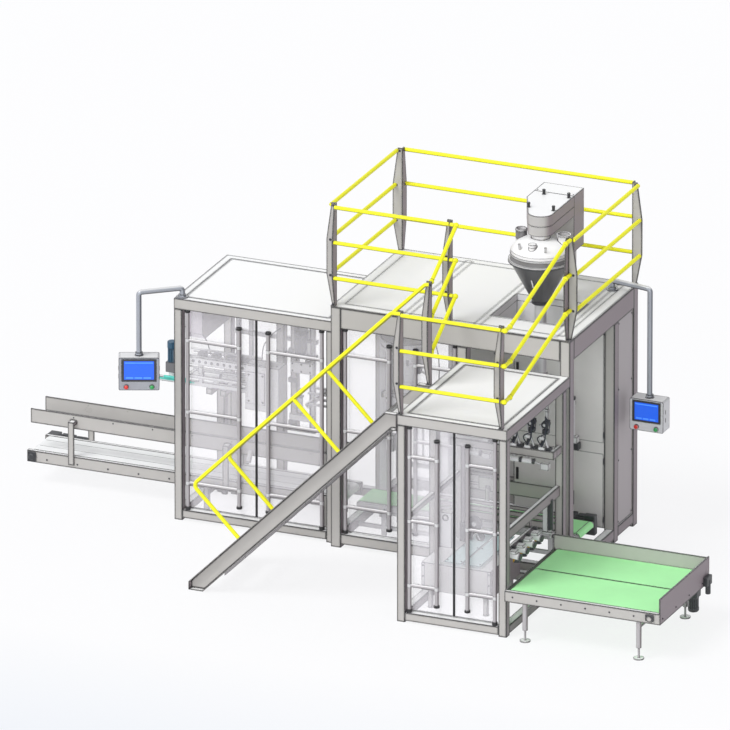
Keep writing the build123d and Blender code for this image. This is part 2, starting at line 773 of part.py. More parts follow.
class GuardPost:
    """An angle post: two tapered plates that point outwards from one corner, on a small foot plate."""

    def __init__(self, x, y, deck, turn_x, turn_y):
        self.x = x
        self.y = y
        self.deck = deck
        self.turn_x = turn_x
        self.turn_y = turn_y

    def outline(self, start, turn):
        """Profile of one plate: straight at the corner, narrow foot, wide waist and tapered top."""
        z = self.deck + GUARD_PLATE
        edge = [(0, GUARD_FOOT), (WAIST_LOW, GUARD_WAIST), (WAIST_HIGH, GUARD_WAIST), (1, GUARD_TOP)]
        profile = [(start + turn * width, z + share * GUARD_HEIGHT) for share, width in edge]
        return profile + [(start, z + GUARD_HEIGHT), (start, z)]

    def solid(self):
        """The post."""
        ys = sorted((self.y, self.y + self.turn_y * GUARD_THICK))
        xs = sorted((self.x, self.x + self.turn_x * GUARD_THICK))
        post = prism_xz(self.outline(self.x, self.turn_x), *ys) + \
            prism_yz(self.outline(self.y, self.turn_y), *xs)
        foot_x = sorted((self.x, self.x + self.turn_x * GUARD_FOOT))
        foot_y = sorted((self.y, self.y + self.turn_y * GUARD_FOOT))
        return post + block(*foot_x, *foot_y, self.deck, self.deck + GUARD_PLATE)


def guard_posts():
    """Posts at the corners of both decks, beside the passage and at the head of the stair."""
    foot = GUARD_FOOT
    right = MAIN_WIDTH - foot
    back = MAIN_DEPTH - foot
    low_front = BAG_FRONT + foot
    places = [
        (foot, foot, MAIN_HEIGHT, -1, -1), (foot, back, MAIN_HEIGHT, -1, 1),
        (right, back, MAIN_HEIGHT, 1, 1), (right, foot, MAIN_HEIGHT, 1, -1),
        (PASSAGE_POST, foot, MAIN_HEIGHT, -1, -1),
        (BAG_LEFT + foot, low_front, BAG_HEIGHT, -1, -1), (right, low_front, BAG_HEIGHT, -1, -1),
        (STAIR_POST_X, STAIR_POST_Y, BAG_HEIGHT, -1, -1),
    ]
    return [GuardPost(*place).solid() for place in places]


def guard_runs():
    """Routes of the rails. The top row follows the narrow top of the posts, the lower rows their waist."""
    foot = GUARD_FOOT
    right = MAIN_WIDTH - foot
    back = MAIN_DEPTH - foot
    side_x = right + GUARD_REACH
    passage_x = STAIR_POST_X - GUARD_REACH
    bag_right = right
    low_front = BAG_FRONT + foot
    runs = []
    for level in RAIL_LEVELS:
        high = MAIN_HEIGHT + level
        low = BAG_HEIGHT + level
        line = TOP_LINE if level == RAIL_LEVELS[-1] else -LOW_LINE
        front = line
        left = line
        far = MAIN_DEPTH - line
        outer = MAIN_WIDTH - line
        bag_front = BAG_FRONT + line
        start_y = STAIR_POST_Y + RAIL_STUB
        slope_low = low_front + RAIL_STUB
        slope_high = foot - GUARD_WAIST - BALL_SIZE / 2 - TUBE_CLEAR
        runs.append([(foot, front, high), (PASSAGE_POST - GUARD_THICK, front, high)])
        runs.append([(left, foot, high), (left, back, high)])
        runs.append([(foot, far, high), (right, far, high)])
        runs.append([(outer, back, high), (outer, foot, high)])
        runs.append([(side_x, foot - GUARD_THICK, high), (side_x, slope_high, high),
                     (side_x, slope_low, low), (side_x, bag_front, low), (bag_right, bag_front, low)])
        runs.append([(bag_right - GUARD_THICK, bag_front, low), (BAG_LEFT + foot, bag_front, low)])
        runs.append([(PASSAGE_POST, front, high), (passage_x, front, high), (passage_x, start_y, low),
                     (passage_x, STAIR_POST_Y, low)])
    return runs


def run_tubes(points):
    """Straight tubes of one route. They stop at the sockets of the ball joints between them."""
    corners = [Vector(*point) for point in points]
    tubes = []
    for index in range(len(corners) - 1):
        start, end = corners[index], corners[index + 1]
        way = (end - start).normalized()
        if index > 0:
            start = start + way * BALL_SOCKET
        if index < len(corners) - 2:
            end = end - way * BALL_SOCKET
        tubes.append(rod(tuple(start), tuple(end), RAIL_TUBE))
    return tubes


def run_balls(points):
    """Ball joints at the turns of one route, each with a flat socket for both tubes."""
    corners = [Vector(*point) for point in points]
    balls = []
    for index in range(1, len(corners) - 1):
        corner = corners[index]
        ball = Pos(*corner) * Sphere(BALL_SIZE / 2)
        for other in (corners[index - 1], corners[index + 1]):
            way = (other - corner).normalized()
            ball -= rod(tuple(corner + way * BALL_SOCKET), tuple(corner + way * BALL_SIZE), BALL_SIZE)
        balls.append(ball)
    return balls


def guard_rails():
    """Straight tubes of the guard rail."""
    return [tube for run in guard_runs() for tube in run_tubes(run)]


def rail_elbows():
    """Ball joints of the guard rail."""
    return [ball for run in guard_runs() for ball in run_balls(run)]


def hopper_shell():
    """Cone with its top flange, and the long sight glass set on its front."""
    spout = HOPPER_SPOUT / 2
    top = CONE_TOP / 2
    wall = HOPPER_WALL
    cone = lathe([
        (spout - wall, HOPPER_OUTLET), (spout, HOPPER_OUTLET), (top, CONE_LEVEL),
        (HOPPER_FLANGE / 2, CONE_LEVEL), (HOPPER_FLANGE / 2, BODY_BASE), (top - wall, BODY_BASE),
    ], HOPPER_X, HOPPER_Y)
    slope = math.atan2(top - spout, CONE_HEIGHT)
    middle = (spout + top) / 2
    facing = Plane(origin=(HOPPER_X, HOPPER_Y - middle, HOPPER_OUTLET + CONE_HEIGHT / 2),
                   x_dir=(1, 0, 0), z_dir=(0, -math.cos(slope), -math.sin(slope)))
    frame = extrude(facing * SlotOverall(SIGHT_LENGTH, SIGHT_WIDTH, rotation=90), amount=SIGHT_THICK)
    frame += extrude(facing * SlotOverall(SIGHT_LENGTH, SIGHT_WIDTH, rotation=90), amount=-wall / 2)
    glass = Plane(origin=facing.origin + facing.z_dir * wall / 2, x_dir=facing.x_dir, z_dir=facing.z_dir)
    window = SlotOverall(SIGHT_LENGTH - SIGHT_WIDTH / 2, SIGHT_WIDTH / 2, rotation=90)
    return cone + frame - extrude(glass * window, amount=SIGHT_WIDTH)


def hopper_ports():
    """Places, outer sizes and tops of the two filling ports and the small front port."""
    base = BODY_TOP + HOPPER_WALL
    return (
        (HOPPER_X - PORT_X, HOPPER_Y + PORT_Y, PORT_SIZE, base),
        (HOPPER_X + PORT_X - HOPPER_WALL, HOPPER_Y + PORT_Y, PORT_SIZE + HOPPER_WALL, base),
        (HOPPER_X, HOPPER_Y - FRONT_PORT_Y, FRONT_PORT, base),
    )


def hopper_dome():
    """Short cylinder and dished lid with the bearing neck, and the three ports that pass through the lid."""
    body = HOPPER_BODY / 2
    neck = DOME_NECK / 2
    wall = HOPPER_WALL
    rim = BODY_BASE + HOPPER_FLANGE_THICK
    knee = math.radians(45)
    middle = (body * math.cos(knee), BODY_TOP + DOME_RISE * math.sin(knee))
    inner_middle = ((body - wall) * math.cos(knee), BODY_TOP + (DOME_RISE - wall) * math.sin(knee))
    edges = [
        Line((body, rim), (body, BODY_TOP)),
        ThreePointArc((body, BODY_TOP), middle, (neck, CROWN)),
        Line((neck, CROWN), (neck, DRIVE_BOTTOM)),
        Line((neck, DRIVE_BOTTOM), (neck - 2 * wall, DRIVE_BOTTOM)),
        Line((neck - 2 * wall, DRIVE_BOTTOM), (neck - 2 * wall, CROWN - wall)),
        ThreePointArc((neck - 2 * wall, CROWN - wall), inner_middle, (body - wall, BODY_TOP)),
        Line((body - wall, BODY_TOP), (body - wall, BODY_BASE)),
        Line((body - wall, BODY_BASE), (HOPPER_FLANGE / 2, BODY_BASE)),
        Line((HOPPER_FLANGE / 2, BODY_BASE), (HOPPER_FLANGE / 2, rim)),
        Line((HOPPER_FLANGE / 2, rim), (body, rim)),
    ]
    lid = Pos(HOPPER_X, HOPPER_Y, 0) * revolve(Plane.XZ * make_face(edges), axis=Axis.Z)
    solids = []
    for x, y, size, base in hopper_ports():
        lid -= rod((x, y, base), (x, y, DRIVE_BOTTOM + PORT_HEIGHT), size + 2 * TUBE_CLEAR)
        top = base + (FRONT_PORT_HEIGHT if size == FRONT_PORT else PORT_HEIGHT)
        port = ring((x, y, base), (x, y, top), size, HOPPER_WALL)
        if size == FRONT_PORT:
            port += rod((x, y, top - CAP_HEIGHT), (x, y, top + SIGHT_THICK), size + CAP_OVERHANG)
        if size > PORT_SIZE:
            overhang = (PORT_RIM - size) / 2
            port += ring((x, y, top - PORT_RIM_THICK), (x, y, top), PORT_RIM, overhang + HOPPER_WALL)
        solids.append(port)
    return [lid] + solids


def spout_tube():
    """Filling tube from the hopper outlet down through the hatch, with its clamp ring and end ring."""
    x, y = HOPPER_X, HOPPER_Y
    low = MAIN_HEIGHT - SPOUT_END
    tube = ring((x, y, low), (x, y, HOPPER_OUTLET), HOPPER_SPOUT, HOPPER_WALL)
    for z in (HOPPER_OUTLET - CLAMP_HEIGHT, low):
        tube += ring((x, y, z), (x, y, z + CLAMP_HEIGHT), HOPPER_SPOUT + 2 * CLAMP_RING,
                     CLAMP_RING + HOPPER_WALL)
    return tube


def drive_outline():
    """Plan of the belt housing: round nose over the hopper axis, one straight and one flared flank."""
    radius = DRIVE_NOSE / 2
    reach = math.hypot(DRIVE_LEFT, DRIVE_SHOULDER)
    start = math.atan2(DRIVE_SHOULDER, -DRIVE_LEFT) + math.acos(radius / reach)
    touch = (HOPPER_X + radius * math.cos(start), HOPPER_Y + radius * math.sin(start))
    halfway = (start + math.tau) / 2
    nose = (HOPPER_X + radius * math.cos(halfway), HOPPER_Y + radius * math.sin(halfway))
    flank = (HOPPER_X + radius, HOPPER_Y)
    corners = [
        flank, (HOPPER_X + radius, BOX_FRONT), (HOPPER_X - DRIVE_LEFT, BOX_FRONT),
        (HOPPER_X - DRIVE_LEFT, HOPPER_Y + DRIVE_SHOULDER), touch,
    ]
    return make_face([ThreePointArc(touch, nose, flank), Polyline(*corners)])


def agitator_drive():
    """Belt housing in two bands with a seam between them, held by four knobs on its cover."""
    outline = drive_outline()
    body = Pos(0, 0, DRIVE_BOTTOM) * extrude(outline, amount=DRIVE_TOP - DRIVE_BOTTOM)
    core = offset(outline, amount=-SEAM_DEPTH)
    body -= Pos(0, 0, DRIVE_SEAM) * extrude(outline - core, amount=SEAM_DEPTH)
    left = HOPPER_X - DRIVE_LEFT + DRIVE_NOSE / 2
    right = HOPPER_X + DRIVE_NOSE / 2 - KNOB_INSET
    front = HOPPER_Y + DRIVE_NOSE / 3
    for x, y in ((left, front), (left, BOX_FRONT - 2 * KNOB_INSET), (right, front),
                 (right, BOX_FRONT - 2 * KNOB_INSET)):
        body += rod((x, y, DRIVE_TOP), (x, y, DRIVE_TOP + KNOB_HEIGHT), KNOB_SIZE)
    return body


def motor_box():
    """Motor box behind the belt housing, with a knob on its right side."""
    right = HOPPER_X + DRIVE_NOSE / 2
    left = HOPPER_X - DRIVE_LEFT
    y = BOX_FRONT + MOTOR_BOX_DEPTH / 3
    z = BOX_BASE + MOTOR_BOX_DEPTH / 2
    box = bar(left, right, BOX_FRONT, BOX_FRONT + MOTOR_BOX_DEPTH, BOX_BASE, DRIVE_TOP)
    return box + rod((right, y, z), (right + KNOB_SIZE / 2, y, z), KNOB_SIZE)


def drive_columns():
    """Two columns from the deck to the motor box."""
    left = HOPPER_X - DRIVE_LEFT
    right = HOPPER_X + DRIVE_NOSE / 2 - COLUMN_SIZE
    return [bar(x, x + COLUMN_SIZE, BOX_FRONT, BOX_FRONT + COLUMN_SIZE, MAIN_HEIGHT, BOX_BASE)
            for x in (left, right)]


def control_cabinet():
    """Cabinet between the back posts, with the filler behind the side panel."""
    back = MAIN_DEPTH - MAIN_POST
    body = block(CABINET_RIGHT - CABINET_WIDTH, CABINET_RIGHT, CABINET_FRONT, back, MAIN_SILL, MAIN_HEAD)
    side = block(CABINET_RIGHT, MAIN_WIDTH - SIDE_INSET - PANEL_THICK, CABINET_FRONT + MAIN_POST, back,
                 MAIN_SILL, MAIN_HEAD)
    return body + side


def cabinet_panels():
    """Lower and upper front doors and the side panel."""
    left = CABINET_RIGHT - CABINET_WIDTH
    gap = PANEL_GAP
    panels = [
        block(left + gap, CABINET_RIGHT - gap, CABINET_FRONT - PANEL_THICK, CABINET_FRONT, low, high)
        for low, high in ((MAIN_SILL + gap, CABINET_SPLIT), (CABINET_SPLIT + CABINET_BAND, MAIN_HEAD - gap))
    ]
    side = MAIN_WIDTH - SIDE_INSET
    panels.append(block(side - PANEL_THICK, side, CABINET_FRONT + MAIN_POST + gap,
                        MAIN_DEPTH - MAIN_POST - gap, MAIN_SILL + gap, MAIN_HEAD - gap))
    return panels


class ScreenArm:
    """Operator screen on a swivel arm: deck socket, bent arm tube and screen box."""

    def __init__(self, name, foot, deck, reach_angle, face_angle, drop, size):
        self.name = name
        self.foot = foot
        self.deck = deck
        self.face_angle = face_angle
        self.box_top = deck - drop
        self.size = size
        angle = math.radians(reach_angle)
        self.end = (foot[0] + SCREEN_REACH * math.cos(angle), foot[1] + SCREEN_REACH * math.sin(angle))

    def socket(self):
        """Flange and collar on the deck."""
        x, y = self.foot
        low = self.deck + SOCKET_THICK
        return rod((x, y, self.deck), (x, y, low), SOCKET_FLANGE) + \
            rod((x, y, low), (x, y, low + COLLAR_HEIGHT), ARM_COLLAR)

    def arm(self):
        """Tube up from the socket, across, and down to the screen box, with a collar at each bend."""
        x, y = self.foot
        start = self.deck + SOCKET_THICK + COLLAR_HEIGHT + PIVOT_GAP
        high = self.deck + ARM_RISE
        points = [(x, y, start), (x, y, high), (*self.end, high), (*self.end, self.box_top + PIVOT_GAP)]
        tube = pipe(points, ARM_TUBE, ARM_TUBE / 2 + BELT_THICK)
        foot = (*self.end, self.box_top + PIVOT_GAP)
        return tube + rod(foot, (*self.end, self.box_top + COLLAR_HEIGHT), ARM_COLLAR)

    def box(self):
        """Rimmed screen box turned to face the operator, with a display window and two push buttons."""
        width, depth, height = self.size
        middle = height / 2
        front = -depth / 2
        body = extrude(Plane.XZ.offset(-front) * RectangleRounded(width, height, SCREEN_RIM), amount=-depth)
        window_height = height - DISPLAY_LIFT - SCREEN_RIM * 2
        window = block(-width / 2 + 2 * SCREEN_RIM, width / 2 - 2 * SCREEN_RIM, front, front + BEZEL_DEPTH,
                       middle - SCREEN_RIM - window_height, middle - SCREEN_RIM)
        body -= window
        button = -middle + BUTTON_LIFT
        for x in (-width / 2 + BUTTON_INSET, width / 2 - BUTTON_INSET):
            body += rod((x, front, button), (x, front - BUTTON_LENGTH, button), BUTTON_SIZE)
        body += rod((0, 0, middle), (0, 0, middle + SOCKET_THICK), ARM_COLLAR)
        place = Pos(*self.end, self.box_top - SOCKET_THICK - middle)
        return place * Rot(0, 0, self.face_angle) * body


def screen_arms():
    """The right arm stands on the main deck, the left arm on the closing cage."""
    right_foot = (MAIN_WIDTH - RIGHT_FOOT_INSET[0], MAIN_DEPTH - RIGHT_FOOT_INSET[1])
    left_foot = (CLOSING_LEFT + LEFT_FOOT_INSET, CLOSING_FRONT + LEFT_FOOT_INSET)
    return [
        ScreenArm("screen_right", right_foot, MAIN_HEIGHT, -11, 0, SCREEN_DROP,
                  (SCREEN_WIDTH, SCREEN_DEPTH, SCREEN_HEIGHT)),
        ScreenArm("screen_left", left_foot, CLOSING_HEIGHT, 219, 22.9, SCREEN_LEFT_DROP,
                  (SCREEN_LEFT_WIDTH, SCREEN_DEPTH, SCREEN_LEFT_HEIGHT)),
    ]


def discharge_bed():
    """Slider bed on cross members that tie the side rails, and the end rollers."""
    y0 = DISCHARGE_FRONT + DISCHARGE_RAIL_THICK
    y1 = DISCHARGE_BACK - DISCHARGE_RAIL_THICK
    under = DISCHARGE_TOP - BELT_THICK - BED_THICK
    bed = block(DISCHARGE_LEFT + BED_INSET, DISCHARGE_RIGHT - BED_INSET, y0 + BELT_SIDE, y1 - BELT_SIDE,
                under, under + BED_THICK)
    low = DISCHARGE_LEFT + 2 * BED_INSET
    high = DISCHARGE_RIGHT - 2 * BED_INSET - SUPPORT_SIZE
    for x in (low, (low + high) / 2, high):
        bed += block(x, x + SUPPORT_SIZE, y0, y1, DISCHARGE_TOP - CROSS_DROP, under)
    return bed + end_rollers(DISCHARGE_LEFT + BELT_INSET, DISCHARGE_RIGHT - BELT_INSET, y0, y1,
                             DISCHARGE_TOP, BELT_DROP)


def discharge_frame():
    """Side rails of the discharge conveyor, tied by the bed, with legs inside the cage."""
    thick = DISCHARGE_RAIL_THICK
    frame = discharge_bed()
    left_leg = CLOSING_LEFT + DISCHARGE_LEG_INSET
    right_leg = CLOSING_RIGHT - DISCHARGE_LEG_INSET - 2 * LEG_TUBE
    for y in (DISCHARGE_FRONT, DISCHARGE_BACK - thick):
        frame += block(DISCHARGE_LEFT, DISCHARGE_RIGHT, y, y + thick, DISCHARGE_RAIL_BASE, DISCHARGE_TOP)
        for x in (left_leg, right_leg):
            frame += block(x, x + LEG_TUBE, y, y + thick, 0, DISCHARGE_RAIL_BASE)
    bearing = DISCHARGE_RAIL_HEIGHT / 2
    x = DISCHARGE_LEFT + BELT_INSET + BELT_DROP / 2
    z = DISCHARGE_RAIL_BASE + bearing
    return frame + rod((x, DISCHARGE_FRONT - SIGHT_THICK, z), (x, DISCHARGE_FRONT, z), bearing)


def discharge_belt():
    """Belt loop of the discharge conveyor."""
    edge = DISCHARGE_RAIL_THICK + BELT_SIDE
    return stadium_loop(DISCHARGE_LEFT + BELT_INSET, DISCHARGE_RIGHT - BELT_INSET, DISCHARGE_FRONT + edge,
                        DISCHARGE_BACK - edge, DISCHARGE_TOP, BELT_DROP)


def discharge_guides():
    """Side guide boards on their uprights."""
    middle = DISCHARGE_FRONT + DISCHARGE_WIDTH / 2
    half = GUIDE_THICK / 2
    boards = []
    for side in (-1, 1):
        y = middle + side * GUIDE_SPAN / 2
        rail = middle + side * DISCHARGE_WIDTH / 2
        outer = rail + side * GUIDE_THICK
        board = block(DISCHARGE_LEFT + BELT_INSET, DISCHARGE_RIGHT - BELT_INSET, y - half, y + half,
                      GUIDE_BASE, GUIDE_BASE + GUIDE_HEIGHT)
        arm_low = GUIDE_BASE + GUIDE_ARM_LIFT
        arm_high = arm_low + GUIDE_ARM_HEIGHT
        for x in (DISCHARGE_LEFT + GUIDE_POST_INSET, CLOSING_LEFT + GUIDE_CAGE_INSET):
            post = sorted((rail, outer))
            arm = sorted((y, outer))
            board += block(x, x + SUPPORT_SIZE, *post, DISCHARGE_RAIL_BASE + GUIDE_POST_LIFT, arm_high)
            board += block(x, x + SUPPORT_SIZE, *arm, arm_low, arm_high)
        boards.append(board)
    return boards


def transfer_bed():
    """Slider bed and end rollers of the transfer conveyor."""
    y0 = TRANSFER_FRONT + TRANSFER_SIDE
    y1 = TRANSFER_BACK - TRANSFER_SIDE
    bed = block(TRANSFER_LEFT + BED_INSET, TRANSFER_RIGHT - BED_INSET, y0, y1,
                TRANSFER_TOP - BELT_THICK - BED_THICK, TRANSFER_TOP - BELT_THICK)
    return bed + end_rollers(TRANSFER_LEFT, TRANSFER_RIGHT, y0, y1, TRANSFER_TOP, TRANSFER_PULLEY)


def transfer_frame():
    """Side plates, legs and floor tubes of the transfer conveyor, with its bed and end rollers."""
    low = TRANSFER_TOP - TRANSFER_PULLEY
    end = BELT_THICK * 2
    frame = transfer_bed()
    tie = MAIN_RAIL_LIFT + TIE_LIFT
    for y in (TRANSFER_FRONT, TRANSFER_BACK - TRANSFER_SIDE):
        frame += block(TRANSFER_LEFT + end, TRANSFER_RIGHT - end, y, y + TRANSFER_SIDE, low,
                       TRANSFER_TOP - end)
        frame += block(CAGE_RAIL, MAIN_WIDTH - CAGE_RAIL, y, y + TRANSFER_SIDE, tie, tie + TIE_SIZE)
        for x in (TRANSFER_LEFT + TRANSFER_LEG_INSET, TRANSFER_RIGHT - TRANSFER_LEG_INSET - LEG_TUBE):
            frame += block(x, x + LEG_TUBE, y, y + TRANSFER_SIDE, 0, low)
    return frame


def transfer_belt():
    """Belt loop of the transfer conveyor."""
    edge = TRANSFER_SIDE + BELT_SIDE
    return stadium_loop(TRANSFER_LEFT, TRANSFER_RIGHT, TRANSFER_FRONT + edge, TRANSFER_BACK - edge,
                        TRANSFER_TOP, TRANSFER_PULLEY)


def magazine_lanes():
    """Front and back edges of the two belts."""
    front = MAGAZINE_FRONT + MAGAZINE_EDGE + BELT_SIDE
    return (
        (front, front + LANE_WIDTH - MAGAZINE_LANE_GAP / 2),
        (front + LANE_WIDTH + MAGAZINE_LANE_GAP / 2, MAGAZINE_BACK - MAGAZINE_PLATE - BELT_SIDE),
    )


def magazine_frame():
    """Front rail, back board and end plates of the magazine conveyor, with beds and end rollers."""
    low = MAGAZINE_TOP - MAGAZINE_RAIL
    left = BAG_RIGHT
    plate = MAGAZINE_PLATE
    front = MAGAZINE_FRONT + MAGAZINE_EDGE
    back = MAGAZINE_BACK - plate
    under = MAGAZINE_TOP - BELT_THICK - BED_THICK
    frame = block(left, MAGAZINE_RIGHT, MAGAZINE_FRONT, front, low, MAGAZINE_TOP)
    frame += block(left, MAGAZINE_RIGHT, back, MAGAZINE_BACK, low, MAGAZINE_BOARD - plate)
    frame += block(MAGAZINE_RIGHT, MAGAZINE_RIGHT + plate, MAGAZINE_FRONT, MAGAZINE_BACK, low,
                   MAGAZINE_BOARD)
    frame += block(left, left + plate, MAGAZINE_FRONT, MAGAZINE_BACK, low, MAGAZINE_TOP)
    x0 = left + plate + BELT_SIDE
    x1 = MAGAZINE_RIGHT - BELT_SIDE
    frame += end_rollers(x0, x1, front, back, MAGAZINE_TOP, BELT_DROP)
    for y0, y1 in magazine_lanes():
        frame += block(x0 + BED_INSET, x1 - BED_INSET, y0, y1, under, under + BED_THICK)
    for x in (x0 + 2 * BED_INSET, x1 - 2 * BED_INSET):
        frame += block(x, x + LEG_TUBE, front, back, MAGAZINE_TOP - CROSS_DROP, under)
    bearing_x = MAGAZINE_RIGHT - BELT_DROP
    z = (low + MAGAZINE_TOP) / 2
    face = MAGAZINE_FRONT - BUTTON_LENGTH
    return frame + rod((bearing_x, face, z), (bearing_x, MAGAZINE_FRONT, z), SUPPORT_SIZE)


def magazine_belts():
    """Two side by side belt loops."""
    left = BAG_RIGHT + MAGAZINE_PLATE + BELT_SIDE
    return [
        stadium_loop(left, MAGAZINE_RIGHT - BELT_SIDE, y0, y1, MAGAZINE_TOP, BELT_DROP)
        for y0, y1 in magazine_lanes()
    ]


def magazine_legs():
    """Legs with threaded feet, joined by cross tubes."""
    low = MAGAZINE_TOP - MAGAZINE_RAIL
    level = low - SUPPORT_SIZE
    half = LEG_TUBE / 2
    ys = (MAGAZINE_FRONT + MAGAZINE_EDGE, MAGAZINE_BACK - half)
    frames = []
    for x in (BAG_RIGHT + MAGAZINE_LEG_INSETS[0], MAGAZINE_RIGHT - MAGAZINE_LEG_INSETS[1]):
        frame = rod((x, ys[0], level), (x, ys[1], level), FOOT_CROSS)
        for y in ys:
            frame += rod((x, y, FOOT_RISE), (x, y, low), LEG_TUBE)
            frame += rod((x, y, FOOT_THICK), (x, y, FOOT_RISE), FOOT_SCREW)
            frame += rod((x, y, 0), (x, y, FOOT_THICK), FOOT_DISC)
        frames.append(frame)
    return frames


def conveyor_motors():
    """Geared motors of the three conveyors."""
    discharge_z = DISCHARGE_RAIL_BASE + DISCHARGE_RAIL_HEIGHT / 2
    motors = [geared_motor(DISCHARGE_LEFT, DISCHARGE_BACK + DISCHARGE_MOTOR / 2, discharge_z,
                           DISCHARGE_MOTOR_LENGTH, DISCHARGE_MOTOR)]
    motors.append(geared_motor(TRANSFER_RIGHT - TRANSFER_MOTOR - TRANSFER_MOTOR_LENGTH - CROSS_DROP / 2,
                               TRANSFER_BACK + TRANSFER_MOTOR / 2, TRANSFER_TOP - TRANSFER_PULLEY / 2,
                               TRANSFER_MOTOR_LENGTH, TRANSFER_MOTOR))
    low = MAGAZINE_TOP - MAGAZINE_RAIL
    x = MAGAZINE_RIGHT + MAGAZINE_PLATE + END_MOTOR_SIZE / 2
    y = MAGAZINE_BACK - BELT_DROP
    foot = low - END_MOTOR_DROP
    motors.append(rod((x, y, foot), (x, y, foot + END_MOTOR_HEIGHT), END_MOTOR_SIZE))
    half = LANE_MOTOR / 2
    x = MAGAZINE_RIGHT - LANE_MOTOR_INSET
    y = MAGAZINE_BACK - half
    seat = low - LANE_GEAR_HEIGHT
    gear = block(x - half, x + half, y - half, y + half, seat, low)
    motors.append(gear + rod((x, y, seat - LANE_MOTOR_LENGTH), (x, y, seat), LANE_MOTOR))
    return motors


# Bag table places
TABLE_LEFT = BAG_LEFT + CAGE_POST
TABLE_RIGHT = TABLE_LEFT + TABLE_WIDTH


def bag_table():
    """Table box under the bag pick-up, on two skids."""
    table = bar(TABLE_LEFT, TABLE_RIGHT, TABLE_FRONT, TABLE_BACK, TABLE_BASE, TABLE_TOP)
    for y in (TABLE_FRONT + SKID_SIZE, TABLE_BACK - 2 * SKID_SIZE):
        table += block(TABLE_LEFT, TABLE_RIGHT, y, y + SKID_SIZE, 0, TABLE_BASE)
    return table


def bag_plates():
    """Two long plates on pillars, on which the bags lie."""
    plates = []
    low = TABLE_TOP + PLATE_LIFT
    for index in range(2):
        x = TABLE_LEFT + PLATE_LEFT + index * (PLATE_WIDTH + PLATE_SPACE)
        plate = block(x, x + PLATE_WIDTH, PLATE_FRONT, PLATE_FRONT + PLATE_LENGTH, low, low + SHEET_THICK)
        for y in (PLATE_FRONT + PILLAR_INSET, TABLE_BACK - PILLAR_INSET):
            pillar = x + PLATE_WIDTH / 2
            plate += rod((pillar, y, TABLE_TOP), (pillar, y, low), PILLAR_SIZE)
        plates.append(plate)
    return plates


def pneumatic_arm(x, y, base):
    """An upright cylinder on a foot block, with its rod and a suction cup at the lower end."""
    half = CYLINDER_SIZE / 2
    top = base + CYLINDER_HEIGHT
    arm = block(x - half, x + half, y - half, y + half, base, base + 2 * CYLINDER_SIZE)
    arm += rod((x, y, base), (x, y, top), CYLINDER_SIZE * MOTOR_BODY)
    arm += rod((x, y, top), (x, y, top + CAP_HEIGHT), CYLINDER_SIZE)
    return arm


def bag_gantry():
    """Cross rail on brackets from the back posts with its arms, and the low pick-up row on a cross bar."""
    rail_top = BAG_HEIGHT - GANTRY_DROP
    rail_y = BAG_BACK_POST - GANTRY_REACH
    left = BAG_LEFT + CAGE_POST / 2 + SHEET_THICK
    right = BAG_RIGHT - RAIL_INSET
    gantry = block(left, right, rail_y - GANTRY_SIZE, rail_y, rail_top - GANTRY_SIZE, rail_top)
    for x0, x1 in ((left, BAG_LEFT + CAGE_POST), (BAG_RIGHT - CAGE_POST, right)):
        gantry += block(x0, x1, rail_y, BAG_BACK_POST, rail_top - GANTRY_SIZE, rail_top)
    y = rail_y - GANTRY_SIZE / 2
    for index in range(ARM_COUNT):
        x = BAG_RIGHT - CAGE_POST - ARM_SPACING * (index + 1)
        gantry += pneumatic_arm(x, y, rail_top)
        gantry += rod((x, y, rail_top - GANTRY_SIZE - CYLINDER_HEIGHT), (x, y, rail_top - GANTRY_SIZE),
                      CYLINDER_SIZE / 2)
        cup = rail_top - GANTRY_SIZE - CYLINDER_HEIGHT
        gantry += rod((x, y, cup - CUP_HEIGHT), (x, y, cup), CUP_SIZE)
    return gantry


def pick_up_row():
    """Row of suction heads under a bar that hangs from the right middle rail."""
    x1 = BAG_RIGHT - CAGE_POST
    x0 = x1 - PICKER_DEPTH
    top = BAG_MID_RAIL - PICKER_DROP
    length = PICKER_COUNT * (PICKER_LENGTH + PICKER_SPACE)
    front = BAG_FRONT + CAGE_POST + PICKER_SPACE
    row = block(x1, x1 + MID_RAIL_SIZE / 2, front, front + length, top, BAG_MID_RAIL - MID_RAIL_SIZE)
    row += block(x0, x1, front, front + length, top, top + BED_THICK)
    for index in range(PICKER_COUNT):
        y = front + index * (PICKER_LENGTH + PICKER_SPACE) + PICKER_SPACE / 2
        low = top - PICKER_HEIGHT
        row += block(x0, x1 - BED_THICK, y, y + PICKER_LENGTH, low, top)
        cup = (x0 + PICKER_DEPTH / 2, y + PICKER_LENGTH / 2)
        row += rod((*cup, low - CUP_HEIGHT), (*cup, low), CYLINDER_SIZE)
    return row


